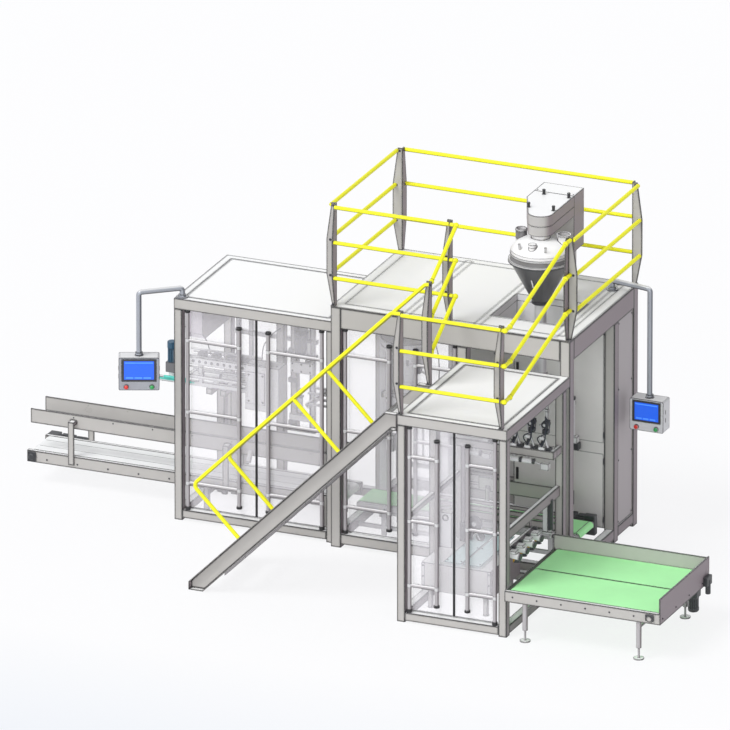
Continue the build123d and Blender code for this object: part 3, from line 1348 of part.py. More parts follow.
def band_sealer():
    """Sealer along the line: band housing over a base bar, sealing head at the right, motor at the left."""
    left = CLOSING_LEFT - BAND_LEFT
    right = CLOSING_LEFT + HEAD_LENGTH * 2
    y0 = SEALER_Y - BAND_WIDTH / 2
    y1 = SEALER_Y + BAND_WIDTH / 2
    half = SEALER_BAR / 2
    head = right + HEAD_LENGTH / 2
    sealer = stadium(left, right, y0, y1, SEALER_TOP - BAND_HEIGHT, SEALER_TOP)
    sealer += block(CLOSING_LEFT + SEALER_LEFT, right, SEALER_Y - half, SEALER_Y + half, SEALER_SILL,
                    SEALER_SILL + SEALER_BAR)
    for z in (SEALER_SILL + 2 * SEALER_BAR,):
        sealer += bar(left, right, y0, y1, z, z + SEALER_BAR)
    for x in (left + BAND_WIDTH, right - 2 * BAND_WIDTH):
        sealer += block(x, x + SEALER_BAR, SEALER_Y - half, SEALER_Y + half, SEALER_SILL, SEALER_TOP - half)
    sealer += bar(right - HEAD_LENGTH / 2, head, SEALER_Y - HEAD_DEPTH / 2, SEALER_Y + HEAD_DEPTH / 2,
                  HEAD_BASE, SEALER_TOP + half)
    x = CLOSING_LEFT + SEALER_LEFT + 2 * SEALER_MOTOR
    low = SEALER_SILL + SEALER_BAR
    sealer += rod((x, SEALER_Y, low), (x, SEALER_Y, low + SEALER_MOTOR_HEIGHT), SEALER_MOTOR)
    return sealer


def sealer_stand():
    """Two posts behind the discharge conveyor with arms under the sealer's base bar."""
    posts = []
    side = (CAGE_POST - SUPPORT_SIZE) / 2
    for index in range(2):
        x = CLOSING_LEFT + STAND_INSET + index * STAND_SPACING
        post = bar(x, x + CAGE_POST, DISCHARGE_BACK, DISCHARGE_BACK + CAGE_POST, 0, SEALER_SILL)
        posts.append(post + block(x + side, x + side + SUPPORT_SIZE, SEALER_Y - SEALER_BAR,
                                  DISCHARGE_BACK + CAGE_POST / 2, SEALER_SILL - SUPPORT_SIZE, SEALER_SILL))
    return posts


def feed_box():
    """Box that hangs from the top ring at the left of the closing cage, with a bevelled lower edge."""
    x0 = CLOSING_LEFT
    y0 = FEED_BOX_FRONT
    y1 = y0 + FEED_BOX_DEPTH
    bevel = FEED_BOX_BEVEL
    profile = [
        (y0, FEED_BOX_BASE + bevel), (y0 + bevel, FEED_BOX_BASE), (y1 - bevel, FEED_BOX_BASE),
        (y1, FEED_BOX_BASE + bevel), (y1, CLOSING_HEAD), (y0, CLOSING_HEAD),
    ]
    return prism_yz(profile, x0, x0 + FEED_BOX_WIDTH)


def bag_lift():
    """Lift column with a guide, a screw under its motor and three plates that join them."""
    x0 = CLOSING_RIGHT - LIFT_RIGHT - CAGE_POST
    y1 = LIFT_Y + CAGE_POST
    column = bar(x0, x0 + CAGE_POST, LIFT_Y, y1, 0, CLOSING_HEIGHT - SHEET_THICK)
    x1 = x0 + CAGE_POST
    for z in LIFT_LEVELS:
        column += block(x1, x1 + LIFT_REACH, LIFT_Y, y1, z, z + LIFT_PLATE)
    low, high = LIFT_LEVELS[0], LIFT_LEVELS[-1]
    guide = x1 + LIFT_GUIDE
    column += block(guide, guide + LIFT_GUIDE, LIFT_Y, LIFT_Y + LIFT_GUIDE, low, high)
    screw = (x1 + LIFT_REACH - LIFT_MOTOR / 2, LIFT_Y + CAGE_POST / 2)
    column += rod((*screw, low), (*screw, high), LIFT_SCREW)
    column += rod((*screw, high), (*screw, high + LIFT_MOTOR_HEIGHT), LIFT_MOTOR * 0.65)
    return column


def filling_column():
    """Column in the first bay with the weigh funnel on its bracket and the bag clamp under it."""
    top = MAIN_HEIGHT - FUNNEL_DROP
    rim = FUNNEL_SIZE / 2
    throat = FUNNEL_THROAT / 2
    cone = top - FUNNEL_RING - FUNNEL_CONE
    clamp = MAIN_HEIGHT - CLAMP_DROP
    funnel = lathe([
        (0, clamp), (throat, clamp), (throat, cone), (rim, top - FUNNEL_RING), (rim, top),
        (FEED_TUBE / 2, top + FUNNEL_RING / 2), (FEED_TUBE / 2, MAIN_TOP), (0, MAIN_TOP),
    ], FUNNEL_X, FUNNEL_Y)
    upper = Pos(FUNNEL_X, FUNNEL_Y, clamp) * Rectangle(*CLAMP_TOP)
    lower = Pos(FUNNEL_X, FUNNEL_Y, clamp - CLAMP_DEPTH) * Rectangle(*CLAMP_FOOT)
    funnel += loft([lower, upper])
    column = bar(COLUMN_LEFT, COLUMN_LEFT + CAGE_POST, COLUMN_Y, COLUMN_Y + CAGE_POST, 0, MAIN_TOP)
    column += block(COLUMN_LEFT, FUNNEL_X, COLUMN_Y, COLUMN_Y + GUIDE_ARM_HEIGHT, top - FUNNEL_RING, top)
    return column + funnel


def build_nodes():
    """All pieces by name."""
    nodes = {
        "main_posts": main_posts(),
        "main_beams": main_beams(),
        "base_rails": base_rails(),
        "main_deck": [main_deck()],
        "deck_hatch": [deck_hatch()],
        "closing_posts": closing_posts(),
        "closing_top": [cage_top(CLOSING_LEFT, CLOSING_RIGHT, CLOSING_FRONT, CLOSING_BACK, CLOSING_HEIGHT)],
        "bag_posts": bag_posts(),
        "bag_top": [cage_top(BAG_LEFT, BAG_RIGHT, BAG_FRONT, BAG_BACK, BAG_HEIGHT)],
        "bag_rails": bag_rails(),
        "side_glazing": [side_glazing()],
        "stair_stringers": stair_stringers(),
        "stair_treads": stair_treads(),
        "stair_handrails": stair_handrails(),
        "guard_posts": guard_posts(),
        "guard_rails": guard_rails(),
        "rail_elbows": rail_elbows(),
        "hopper_shell": [hopper_shell()],
        "hopper_dome": hopper_dome(),
        "spout_tube": [spout_tube()],
        "agitator_drive": [agitator_drive()],
        "motor_box": [motor_box()],
        "drive_columns": drive_columns(),
        "control_cabinet": [control_cabinet()],
        "cabinet_panels": cabinet_panels(),
        "discharge_frame": [discharge_frame()],
        "discharge_belt": [discharge_belt()],
        "discharge_guides": discharge_guides(),
        "transfer_frame": [transfer_frame()],
        "transfer_belt": [transfer_belt()],
        "magazine_frame": [magazine_frame()],
        "magazine_belts": magazine_belts(),
        "magazine_legs": magazine_legs(),
        "conveyor_motors": conveyor_motors(),
        "bag_table": [bag_table()],
        "bag_plates": bag_plates(),
        "bag_gantry": [bag_gantry(), pick_up_row()],
        "band_sealer": [band_sealer()],
        "sealer_stand": sealer_stand(),
        "feed_box": [feed_box()],
        "bag_lift": [bag_lift()],
        "filling_column": [filling_column()],
    }
    bearings = []
    for leaf in door_leaves():
        nodes[leaf.name + "_frame"] = [leaf.tubes()]
        nodes[leaf.name + "_pane"] = [leaf.pane()]
        bearings += leaf.bearings()
    nodes["door_bearings"] = bearings
    nodes["screen_sockets"] = [arm.socket() for arm in screen_arms()]
    for arm in screen_arms():
        nodes[arm.name + "_arm"] = [arm.arm()]
        nodes[arm.name + "_box"] = [arm.box()]
    return nodes


def main():
    """Centre the line on its own footprint and write one file for each piece."""
    line_right = MAGAZINE_RIGHT + MAGAZINE_PLATE + END_MOTOR_SIZE
    line_front = MAGAZINE_FRONT - BUTTON_LENGTH
    line_back = MAIN_DEPTH + GUARD_WAIST - GUARD_FOOT
    shift = Pos(-(DISCHARGE_LEFT + line_right) / 2, -(line_front + line_back) / 2, 0)
    os.makedirs("parts", exist_ok=True)
    for name, solids in build_nodes().items():
        placed = [shift * solid for solid in solids]
        shape = placed[0] if len(placed) == 1 else Compound(children=placed)
        export_step(shape, f"parts/{name}.step")


main()
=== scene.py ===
"""Powder packaging line: finishes, fittings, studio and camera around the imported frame."""
import logging
import math
from collections.abc import Iterable
from dataclasses import dataclass
from enum import Enum
from itertools import product

import bmesh
import bpy
import numpy as np
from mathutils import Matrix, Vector


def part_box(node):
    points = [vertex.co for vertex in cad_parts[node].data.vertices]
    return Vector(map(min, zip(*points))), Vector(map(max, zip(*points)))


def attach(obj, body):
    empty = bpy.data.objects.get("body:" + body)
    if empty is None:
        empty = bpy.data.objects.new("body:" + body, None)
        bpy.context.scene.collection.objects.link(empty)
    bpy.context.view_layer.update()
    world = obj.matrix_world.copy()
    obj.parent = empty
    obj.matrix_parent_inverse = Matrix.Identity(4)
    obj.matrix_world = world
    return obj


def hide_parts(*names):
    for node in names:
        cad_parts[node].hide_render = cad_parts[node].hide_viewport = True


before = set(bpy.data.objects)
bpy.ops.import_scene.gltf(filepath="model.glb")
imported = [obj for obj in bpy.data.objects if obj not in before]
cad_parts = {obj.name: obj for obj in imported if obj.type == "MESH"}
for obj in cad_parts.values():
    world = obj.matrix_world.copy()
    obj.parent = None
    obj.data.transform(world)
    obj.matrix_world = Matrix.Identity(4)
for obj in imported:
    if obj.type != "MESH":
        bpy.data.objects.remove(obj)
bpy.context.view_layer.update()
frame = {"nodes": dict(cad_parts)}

LOG = logging.getLogger("packaging_line")
ORIGIN = np.array(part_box("main_posts")[0])
UP = (0.0, 0.0, 1.0)
ALONG = (1.0, 0.0, 0.0)
AWAY = (0.0, 1.0, 0.0)
FRONT = (0.0, -1.0, 0.0)
BODY = "line"
SMOOTH_ANGLE = 0.6
FLAT_ANGLE = 0.3
FLAT_SHARE = 4
JOIN_DISTANCE = 2e-6
NEAR_UPRIGHT = 0.9
HOSE_SIDES = 10
FLOOR_DROP = 0.002


def at(x: float, y: float, z: float) -> np.ndarray:
    """Turns millimetres from the main frame's front left floor corner into the row frame.

    Args:
        x: Millimetres along the line.
        y: Millimetres away from the door side.
        z: Millimetres over the floor.

    Returns:
        The point in metres.
    """
    return ORIGIN + np.array([x, y, z]) / 1000.0


def unit(vector: np.ndarray) -> np.ndarray:
    """Scales a vector, or each row of an array of vectors, to length one."""
    vector = np.asarray(vector, float)
    return vector / np.linalg.norm(vector, axis=-1, keepdims=True)


def square_to(axis: np.ndarray) -> tuple[np.ndarray, np.ndarray]:
    """Gives two directions that are square to an axis and to each other."""
    side = unit(np.cross(axis, ALONG if abs(axis[2]) > NEAR_UPRIGHT else UP))
    return side, np.cross(axis, side)


def circle(sides: int, side: np.ndarray, other: np.ndarray) -> np.ndarray:
    """Gives the unit circle cos(t) side + sin(t) other, or one for each row of the two arrays."""
    turn = np.arange(sides) * math.tau / sides
    return np.cos(turn)[:, None] * side[..., None, :] + np.sin(turn)[:, None] * other[..., None, :]


def spin(turn: float) -> np.ndarray:
    """Gives the matrix that turns rows of points about the vertical by an angle in radians."""
    c, s = math.cos(turn), math.sin(turn)
    return np.array([[c, s, 0], [-s, c, 0], [0, 0, 1]])


class Shell:
    """Collects surfaces as point grids and turns them into one mesh."""

    def __init__(self) -> None:
        """Starts empty."""
        self.points: list[np.ndarray] = []
        self.quads: list[np.ndarray] = []
        self.count = 0

    def grid(self, points: np.ndarray, close_v: bool = False) -> None:
        """Adds the quads between the neighbours of a grid of points.

        Args:
            points: Array of rows, columns and three coordinates.
            close_v: Joins the last column to the first.
        """
        rows, columns = points.shape[:2]
        index = np.arange(rows * columns).reshape(rows, columns) + self.count
        if close_v:
            index = np.hstack([index, index[:, :1]])
        corners = (index[:-1, :-1], index[1:, :-1], index[1:, 1:], index[:-1, 1:])
        self.points.append(points.reshape(-1, 3))
        self.quads.append(np.stack(corners, axis=-1).reshape(-1, 4))
        self.count += rows * columns

    def lathe(self, profile: list[tuple[float, float]], centre: np.ndarray, axis: tuple = UP,
              sides: int = 24) -> None:
        """Turns a profile about an axis: centre + s times axis + r times the unit circle at angle t.

        Args:
            profile: Pairs of radius r and distance s along the axis, in metres.
            centre: Where the axis starts.
            axis: Direction of the axis.
            sides: Number of steps of t in a turn.
        """
        axis = unit(axis)
        around = circle(sides, *square_to(axis))
        radius, reach = np.array(profile, float).T
        self.grid(np.asarray(centre) + reach[:, None, None] * axis + radius[:, None, None] * around,
                  close_v=True)

    def ring(self, centre: np.ndarray, inner: float, outer: float, height: float, slope: float = 0.0,
             sides: int = 40, axis: tuple = UP) -> None:
        """Adds a ring whose ends slope down to its bore.

        Args:
            centre: Middle of its first end.
            inner: Radius of the bore in metres.
            outer: Outer radius.
            height: Height along the axis.
            slope: Height of the slope at each end.
            sides: Number of sides.
            axis: Direction of the axis.
        """
        self.lathe([(inner, 0), (outer, slope), (outer, height - slope), (inner, height), (inner, 0)],
                   centre, axis, sides)

    def rod(self, start: np.ndarray, end: np.ndarray, diameter: float, chamfer: float = 0.001,
            sides: int = 20) -> None:
        """Adds a round bar with chamfered ends.

        Args:
            start: Middle of one end.
            end: Middle of the other end.
            diameter: Its diameter in metres.
            chamfer: Size of the chamfer.
            sides: Number of sides.
        """
        span = np.asarray(end) - np.asarray(start)
        length = float(np.linalg.norm(span))
        r = diameter / 2
        profile = [(0, 0), (r - chamfer, 0), (r, chamfer), (r, length - chamfer), (r - chamfer, length),
                   (0, length)]
        self.lathe(profile, start, tuple(span), sides)

    def box(self, low: np.ndarray, high: np.ndarray, radius: float = 0.002, turn: float = 0.0,
            about: np.ndarray | None = None) -> None:
        """Adds a box with rounded edges: each corner is the octant of a ball moved out to its corner.

        Args:
            low: Lowest corner.
            high: Highest corner.
            radius: Edge radius.
            turn: Turn about the vertical in radians.
            about: Point of that turn, or its own middle.
        """
        low, high = np.asarray(low, float), np.asarray(high, float)
        middle, half = (low + high) / 2, (high - low) / 2 - radius
        around = (np.arange(4)[:, None] * 90 + np.array([0, 45, 90])[None, :]).reshape(-1)
        signs = np.repeat(np.array([[1, 1], [-1, 1], [-1, -1], [1, -1]]), 3, axis=0)
        rise = np.array([-90, -45, 0, 0, 45, 90])
        lift = np.array([-1, -1, -1, 1, 1, 1])
        t, p = np.radians(around), np.radians(rise)
        x = signs[None, :, 0] * half[0] + radius * np.cos(p)[:, None] * np.cos(t)[None]
        y = signs[None, :, 1] * half[1] + radius * np.cos(p)[:, None] * np.sin(t)[None]
        z = (lift * half[2] + radius * np.sin(p))[:, None] + np.zeros_like(x)
        points = np.stack([x, y, z], axis=-1)
        caps = [points[row][[[0, 3], [9, 6]]] for row in (0, -1)]
        for part, closed in ((points, True), (caps[0], False), (caps[1], False)):
            placed = part + middle
            if turn:
                pivot = middle if about is None else np.asarray(about)
                placed = (placed - pivot) @ spin(turn) + pivot
            self.grid(placed, close_v=closed)

    def tube(self, path: np.ndarray, diameter: float, sides: int = 12) -> None:
        """Carries a circle along a path, square to its tangent, and closes both ends with a fan.

        Args:
            path: Array of points along the middle line.
            diameter: Tube diameter in metres.
            sides: Number of sides.
        """
        tangent = unit(np.gradient(path, axis=0))
        reference = np.eye(3)[int(np.argmin(np.ptp(path, axis=0)))]
        side = unit(np.cross(tangent, reference))
        wall = path[:, None] + circle(sides, side, np.cross(tangent, side)) * diameter / 2
        ends = [np.repeat(path[i][None, None], sides, axis=1) for i in (0, -1)]
        self.grid(np.concatenate([ends[0], wall, ends[1]]), close_v=True)

    def plate(self, outline: np.ndarray, origin: np.ndarray, across: tuple, up: tuple,
              thickness: float) -> None:
        """Extrudes a flat outline: two fans from its middle, joined by a wall along its normal.

        Args:
            outline: Pairs of distances along across and up, in metres.
            origin: Where the outline's zero lies.
            across: First direction of the outline.
            up: Second direction of the outline.
            thickness: Thickness along across x up.
        """
        outline = np.asarray(outline, float)
        flat = origin + outline[:, :1] * np.array(across) + outline[:, 1:] * np.array(up)
        normal = unit(np.cross(across, up)) * thickness
        middle = np.repeat(flat.mean(axis=0)[None], len(flat), axis=0)
        self.grid(np.stack([middle, flat, flat + normal, middle + normal]), close_v=True)

    def bolt(self, centre: np.ndarray, axis: tuple, size: float = 0.016) -> None:
        """Adds a six-sided bolt head on a round washer."""
        head, washer = size / 2, size * 0.75
        self.lathe([(0, 0), (washer, 0), (washer, size * 0.12), (0, size * 0.12)], centre, axis, 12)
        self.lathe([(0, 0), (head, 0), (head, size * 0.5), (head * 0.8, size * 0.6), (0, size * 0.6)],
                   centre, axis, 6)

    def bolts(self, places: Iterable[tuple[float, float, float]], axis: tuple, size: float) -> None:
        """Adds a bolt at each place, given in the datum's millimetres."""
        for place in places:
            self.bolt(at(*place), axis, size)

    def finned(self, start: np.ndarray, end: np.ndarray, diameter: float, fins: int = 18,
               depth: float = 0.006) -> None:
        """Adds a motor body: radius = r - depth times (1 - |cos(n t)| to the power 0.3).

        Args:
            start: Middle of one end.
            end: Middle of the other end.
            diameter: Outer diameter over the fins.
            fins: Number of fins n.
            depth: Depth of the grooves.
        """
        span = np.asarray(end) - np.asarray(start)
        sides = fins * 6
        turn = np.arange(sides) * math.tau / sides
        groove = depth * (1 - np.abs(np.cos(fins * turn / 2)) ** 0.3)
        rim = (diameter / 2 - groove)[:, None] * circle(sides, *square_to(unit(span)))
        middle = np.zeros_like(rim)
        self.grid(start + np.stack([middle, rim, rim + span, middle + span]), close_v=True)

    def hose(self, points: Iterable[tuple[float, float, float]], diameter: float) -> None:
        """Adds a hose on one smooth curve through points in the datum's millimetres."""
        self.tube(curve_path(np.array([at(*point) for point in points])), diameter, HOSE_SIDES)

    def mesh(self, name: str) -> bpy.types.Object:
        """Builds the object, joins doubled points, turns faces outwards and keeps flats flat.

        An edge is sharp past the angle, and where a flat meets the far smaller strip of its rounding.

        Args:
            name: Name of the object.

        Returns:
            The new object, at the origin.
        """
        data = bpy.data.meshes.new(name)
        data.from_pydata(np.concatenate(self.points).tolist(), [], np.concatenate(self.quads).tolist())
        work = bmesh.new()
        work.from_mesh(data)
        bmesh.ops.remove_doubles(work, verts=work.verts, dist=JOIN_DISTANCE)
        bmesh.ops.recalc_face_normals(work, faces=work.faces)
        for face in work.faces:
            face.smooth = True
        for edge in work.edges:
            angle = edge.calc_face_angle(math.pi)
            areas = sorted(face.calc_area() for face in edge.link_faces)
            flat_side = angle > FLAT_ANGLE and areas[-1] > FLAT_SHARE * areas[0]
            edge.smooth = angle < SMOOTH_ANGLE and not flat_side
        work.to_mesh(data)
        work.free()
        thing = bpy.data.objects.new(name, data)
        bpy.context.scene.collection.objects.link(thing)
        return thing


def curve_path(points: np.ndarray, steps: int = 12) -> np.ndarray:
    """Runs a smooth line through points, each span a cubic of the four points round it.

    Args:
        points: Array of points to pass through.
        steps: Steps in each span.

    Returns:
        Array of points along the line.
    """
    points = np.asarray(points, float)
    padded = np.vstack([2 * points[0] - points[1], points, 2 * points[-1] - points[-2]])
    a, b, c, d = (padded[i:len(padded) - 3 + i][:, None] for i in range(4))
    t = np.linspace(0, 1, steps, endpoint=False)[None, :, None]
    spans = 0.5 * (2 * b + (c - a) * t + (2 * a - 5 * b + 4 * c - d) * t ** 2
                   + (3 * b - a - 3 * c + d) * t ** 3)
    return np.vstack([spans.reshape(-1, 3), points[-1:]])


class Slot(Enum):
    """Names of material slots of the record; no piece here is given one of them."""

    FRAME = "frame_paint"
    HOPPER = "hopper_steel"
    STEEL = "steel"
    PANEL = "white_panel"
    WHITE = "belt_white"
    CYAN = "plate_cyan"
    BLACK = "motor_black"
    PLASTIC = "black_plastic"
    SCREEN = "screen_housing"


def fill(tree: bpy.types.NodeTree, inputs: bpy.types.NodeInputs, values: dict) -> None:
    """Links sockets to a node's inputs and sets constants on them.

    Args:
        tree: The tree of the node.
        inputs: The node's inputs.
        values: Sockets or constants by input name or number.
    """
    for key, value in values.items():
        if isinstance(value, bpy.types.NodeSocket):
            tree.links.new(value, inputs[key])
        else:
            inputs[key].default_value = value


def add(tree: bpy.types.NodeTree, kind: str, values: dict | None = None, **settings: object
        ) -> bpy.types.NodeOutputs:
    """Adds a node, sets its properties and fills its inputs.

    Args:
        tree: The tree that gets the node.
        kind: Node type without its first word, such as Math.
        values: Sockets or constants by input name or number.
        settings: Properties of the node.

    Returns:
        The node's outputs.
    """
    node = tree.nodes.new("ShaderNode" + kind)
    for name, value in settings.items():
        setattr(node, name, value)
    fill(tree, node.inputs, values or {})
    return node.outputs


def math_node(tree: bpy.types.NodeTree, operation: str, *values: bpy.types.NodeSocket | float
              ) -> bpy.types.NodeSocket:
    """Adds a math node on sockets or numbers and gives its result."""
    return add(tree, "Math", dict(enumerate(values)), operation=operation)["Value"]


def stretched(tree: bpy.types.NodeTree, value: bpy.types.NodeSocket, low: float, high: float,
              to_low: float = 0.0, to_high: float = 1.0) -> bpy.types.NodeSocket:
    """Maps a socket's range from low to high onto another range and gives the new socket."""
    return add(tree, "MapRange", {"Value": value, "From Min": low, "From Max": high, "To Min": to_low,
                                  "To Max": to_high})["Result"]


def over(tree: bpy.types.NodeTree, color: bpy.types.NodeSocket | tuple, top: tuple,
         mask: bpy.types.NodeSocket) -> bpy.types.NodeSocket:
    """Lays one colour over another where the mask is one and gives the new socket."""
    return add(tree, "Mix", {"Factor": mask, "A": color, "B": (*top, 1)}, data_type="RGBA")["Result"]


def socket_group(name: str, inputs: dict[str, float], outputs: tuple[str, ...]) -> tuple:
    """Makes an empty shader node group with named number sockets.

    Args:
        name: Name of the group.
        inputs: Input names and default values.
        outputs: Output names.

    Returns:
        The tree, the sockets that it takes and the sockets that it gives.
    """
    tree = bpy.data.node_groups.new(name, "ShaderNodeTree")
    for label, value in inputs.items():
        socket = tree.interface.new_socket(label, in_out="INPUT", socket_type="NodeSocketFloat")
        socket.default_value = value
    for label in outputs:
        tree.interface.new_socket(label, in_out="OUTPUT", socket_type="NodeSocketFloat")
    source, sink = tree.nodes.new("NodeGroupInput"), tree.nodes.new("NodeGroupOutput")
    return tree, source.outputs, sink.inputs


# Where each mask begins and where it is full.
LEVEL_RANGE = (0.6, 0.9)
SHARP_RANGE = (0.999, 0.97)
ROUND_RANGE = (0.999, 0.975)
# Masks that paint light by face direction: a highlight on tops, side shading, and shade underneath.
TOP_HIGHLIGHT_RANGE = (0.55, 0.85)
SIDE_SHADING_RANGE = (0.6, 0.9)
UNDERSIDE_SHADE_RANGE = (-0.2, -0.6)


def edge_group() -> bpy.types.NodeTree:
    """Marks edges, with a wider band on faces that look up, where dirt is drawn along them.

    The band is where the dot product of the rounded and the true normal falls under one. On square
    tubes, whose edges are round, it is also where no component of the rounded normal is near one.
    """
    tree, source, sink = socket_group(
        "edge_mark", {"Radius": 0.004, "Strength": 1.0, "Square": 0.0, "Level": 0.0}, ("Mask",))
    normal = add(tree, "NewGeometry")["Normal"]
    level = stretched(tree, add(tree, "SeparateXYZ", {"Vector": normal})["Z"], *LEVEL_RANGE)
    wider = math_node(tree, "MULTIPLY_ADD", level, source["Level"], 1.0)
    radius = math_node(tree, "MULTIPLY", wider, source["Radius"])
    rounded = add(tree, "Bevel", {"Radius": radius}, samples=6)["Normal"]
    likeness = add(tree, "VectorMath", {0: rounded, 1: normal}, operation="DOT_PRODUCT")["Value"]
    sharp = stretched(tree, likeness, *SHARP_RANGE)
    size = add(tree, "VectorMath", {0: rounded}, operation="ABSOLUTE")["Vector"]
    axes = add(tree, "SeparateXYZ", {"Vector": size})
    most = math_node(tree, "MAXIMUM", math_node(tree, "MAXIMUM", axes["X"], axes["Y"]), axes["Z"])
    tube = math_node(tree, "MULTIPLY", stretched(tree, most, *ROUND_RANGE), source["Square"])
    mask = math_node(tree, "MAXIMUM", sharp, tube)
    fill(tree, sink, {"Mask": math_node(tree, "MULTIPLY", mask, source["Strength"])})
    return tree


def grain_group() -> bpy.types.NodeTree:
    """Makes two layers of noise on Object coordinates: a fine grain and broad clouds of soil."""
    tree, source, sink = socket_group(
        "surface_grain", {"Scale": 300.0, "Clouds": 2.0, "Stretch X": 1.0, "Stretch Z": 1.0},
        ("Grain", "Soil"))
    place = add(tree, "TexCoord")["Object"]
    stretch = add(tree, "CombineXYZ", {"X": source["Stretch X"], "Y": 1.0, "Z": source["Stretch Z"]})
    drawn = add(tree, "VectorMath", {0: place, 1: stretch["Vector"]}, operation="MULTIPLY")["Vector"]
    fine = add(tree, "TexNoise", {"Vector": drawn, "Scale": source["Scale"], "Detail": 3.0})
    broad = add(tree, "TexNoise", {"Vector": place, "Scale": source["Clouds"], "Detail": 5.0,
                                   "Roughness": 0.6})
    fill(tree, sink, {"Grain": fine["Fac"], "Soil": broad["Fac"]})
    return tree


def face_group() -> bpy.types.NodeTree:
    """Marks faces that look up for a painted highlight, along the line for painted side shading, and down
    to the floor for painted underside shade.

    The highlight mask is the normal's height, the underside shade mask its depth and the side shading
    mask the size of its part along the line, stretched.
    """
    masks = ("Up", "Side", "Under_Shade")
    tree, source, sink = socket_group("face_light_shade", {label: 1.0 for label in masks}, masks)
    parts = add(tree, "SeparateXYZ", {"Vector": add(tree, "NewGeometry")["Normal"]})
    # Painted highlight on faces that look up, painted side shading along the line, painted shade on faces
    # that look down.
    up = stretched(tree, parts["Z"], *TOP_HIGHLIGHT_RANGE)
    side = stretched(tree, math_node(tree, "ABSOLUTE", parts["X"]), *SIDE_SHADING_RANGE)
    under = stretched(tree, parts["Z"], *UNDERSIDE_SHADE_RANGE)
    for label, mask in zip(masks, (up, side, under)):
        fill(tree, sink, {label: math_node(tree, "MULTIPLY", mask, source[label])})
    return tree


EFFECTS = {"edge_mark": edge_group, "surface_grain": grain_group, "face_light_shade": face_group}


def effect(tree: bpy.types.NodeTree, name: str, values: dict[str, float]) -> bpy.types.NodeOutputs:
    """Adds a shared effect group, made the first time it is asked for, and gives its outputs."""
    group = bpy.data.node_groups.get(name) or EFFECTS[name]()
    return add(tree, "Group", values, node_tree=group)


class Look:
    """A material that is built once under its finish's name."""

    name: str

    def material(self) -> bpy.types.Material:
        """Builds the material once and gives the same one after that."""
        label = "finish_" + self.name
        known = bpy.data.materials.get(label)
        if known is None:
            known = bpy.data.materials.new(label)
            known.use_nodes = True
            self.paint(known.node_tree, known.node_tree.nodes["Principled BSDF"].inputs)
        return known

    def paint(self, tree: bpy.types.NodeTree, shader: bpy.types.NodeInputs) -> None:
        """Fills the shader's inputs.

        Args:
            tree: The material's node tree.
            shader: Inputs of its Principled BSDF.
        """
        raise NotImplementedError


INK = (0.012, 0.012, 0.014)
SOOT = (0.06, 0.06, 0.065)
# Colours of the painted highlight on faces that look up.
HIGHLIGHT_PALE = (0.93, 0.93, 0.93)
HIGHLIGHT_PALER = (0.94, 0.94, 0.94)
SOIL_SHADE = 0.78
SOIL_GAIN = 4
SOIL_RANGE = (0.42, 0.72)
GRAIN_RANGE = (0.3, 0.7)
RELIEF_DEPTH = 0.001


@dataclass(frozen=True)
class Finish(Look):
    """A painted, brushed, rubber or plastic finish with grain, soil and marked edges.

    Faces that look up take a painted highlight colour, faces along the line a painted side shading
    colour (darker, lighter on the hopper) and faces that look down a painted underside shade colour,
    each by its own amount from none to one.
    """

    name: str
    color: tuple[float, float, float]
    roughness: float = 0.45
    metallic: float = 0.0
    edge_radius: float = 0.006
    edge: float = 1.0
    edge_color: tuple[float, float, float] = INK
    square: float = 0.0
    level: float = 0.6
    grain_scale: float = 260.0
    grain: float = 0.05
    soil: float = 0.08
    stretch: tuple[float, float] = (1.0, 1.0)
    bump: float = 0.05
    coat: float = 0.0
    glow: float = 0.0
    # Painted highlight on faces that look up: its amount and colour.
    top_highlight: float = 0.0
    top_highlight_color: tuple[float, float, float] = (0.86, 0.86, 0.86)
    # Painted side shading on faces along the line, darker on most finishes and lighter on the hopper: its
    # amount and colour.
    side: float = 0.0
    side_shading_color: tuple[float, float, float] = (0.262, 0.218, 0.24)
    # Painted shade on faces that look down: its amount and colour.
    under: float = 0.0
    underside_shade_color: tuple[float, float, float] = (0.06, 0.055, 0.06)

    def paint(self, tree: bpy.types.NodeTree, shader: bpy.types.NodeInputs) -> None:
        """Lays soil, painted face light and shade, and edge marks over the colour, and grain into roughness
        and relief.
        """
        grain = effect(tree, "surface_grain", {"Scale": self.grain_scale, "Stretch X": self.stretch[0],
                                               "Stretch Z": self.stretch[1]})
        soil = stretched(tree, grain["Soil"], *SOIL_RANGE, 0.0, self.soil * SOIL_GAIN)
        color = over(tree, (*self.color, 1), [channel * SOIL_SHADE for channel in self.color], soil)
        if self.top_highlight or self.side or self.under:
            # Masks of the painted highlight, the painted side shading and the painted underside shade.
            tone = effect(tree, "face_light_shade", {"Up": self.top_highlight, "Side": self.side, "Under_Shade": self.under})
            # Painted side shading on faces along the line.
            color = over(tree, color, self.side_shading_color, tone["Side"])
            # Painted shade on faces that look down.
            color = over(tree, color, self.underside_shade_color, tone["Under_Shade"])
            # Painted highlight on faces that look up.
            color = over(tree, color, self.top_highlight_color, tone["Up"])
        if self.edge:
            mark = effect(tree, "edge_mark", {"Radius": self.edge_radius, "Strength": self.edge,
                                              "Square": self.square, "Level": self.level})
            color = over(tree, color, self.edge_color, mark["Mask"])
        rough = stretched(tree, grain["Grain"], *GRAIN_RANGE, self.roughness - self.grain,
                          self.roughness + self.grain)
        relief = add(tree, "Bump", {"Strength": self.bump, "Distance": RELIEF_DEPTH,
                                     "Height": grain["Grain"]})
        fill(tree, shader, {"Base Color": color, "Roughness": rough, "Normal": relief["Normal"],
                            "Metallic": self.metallic, "Coat Weight": self.coat})
        if self.glow:
            fill(tree, shader, {"Emission Color": (*self.color, 1), "Emission Strength": self.glow})


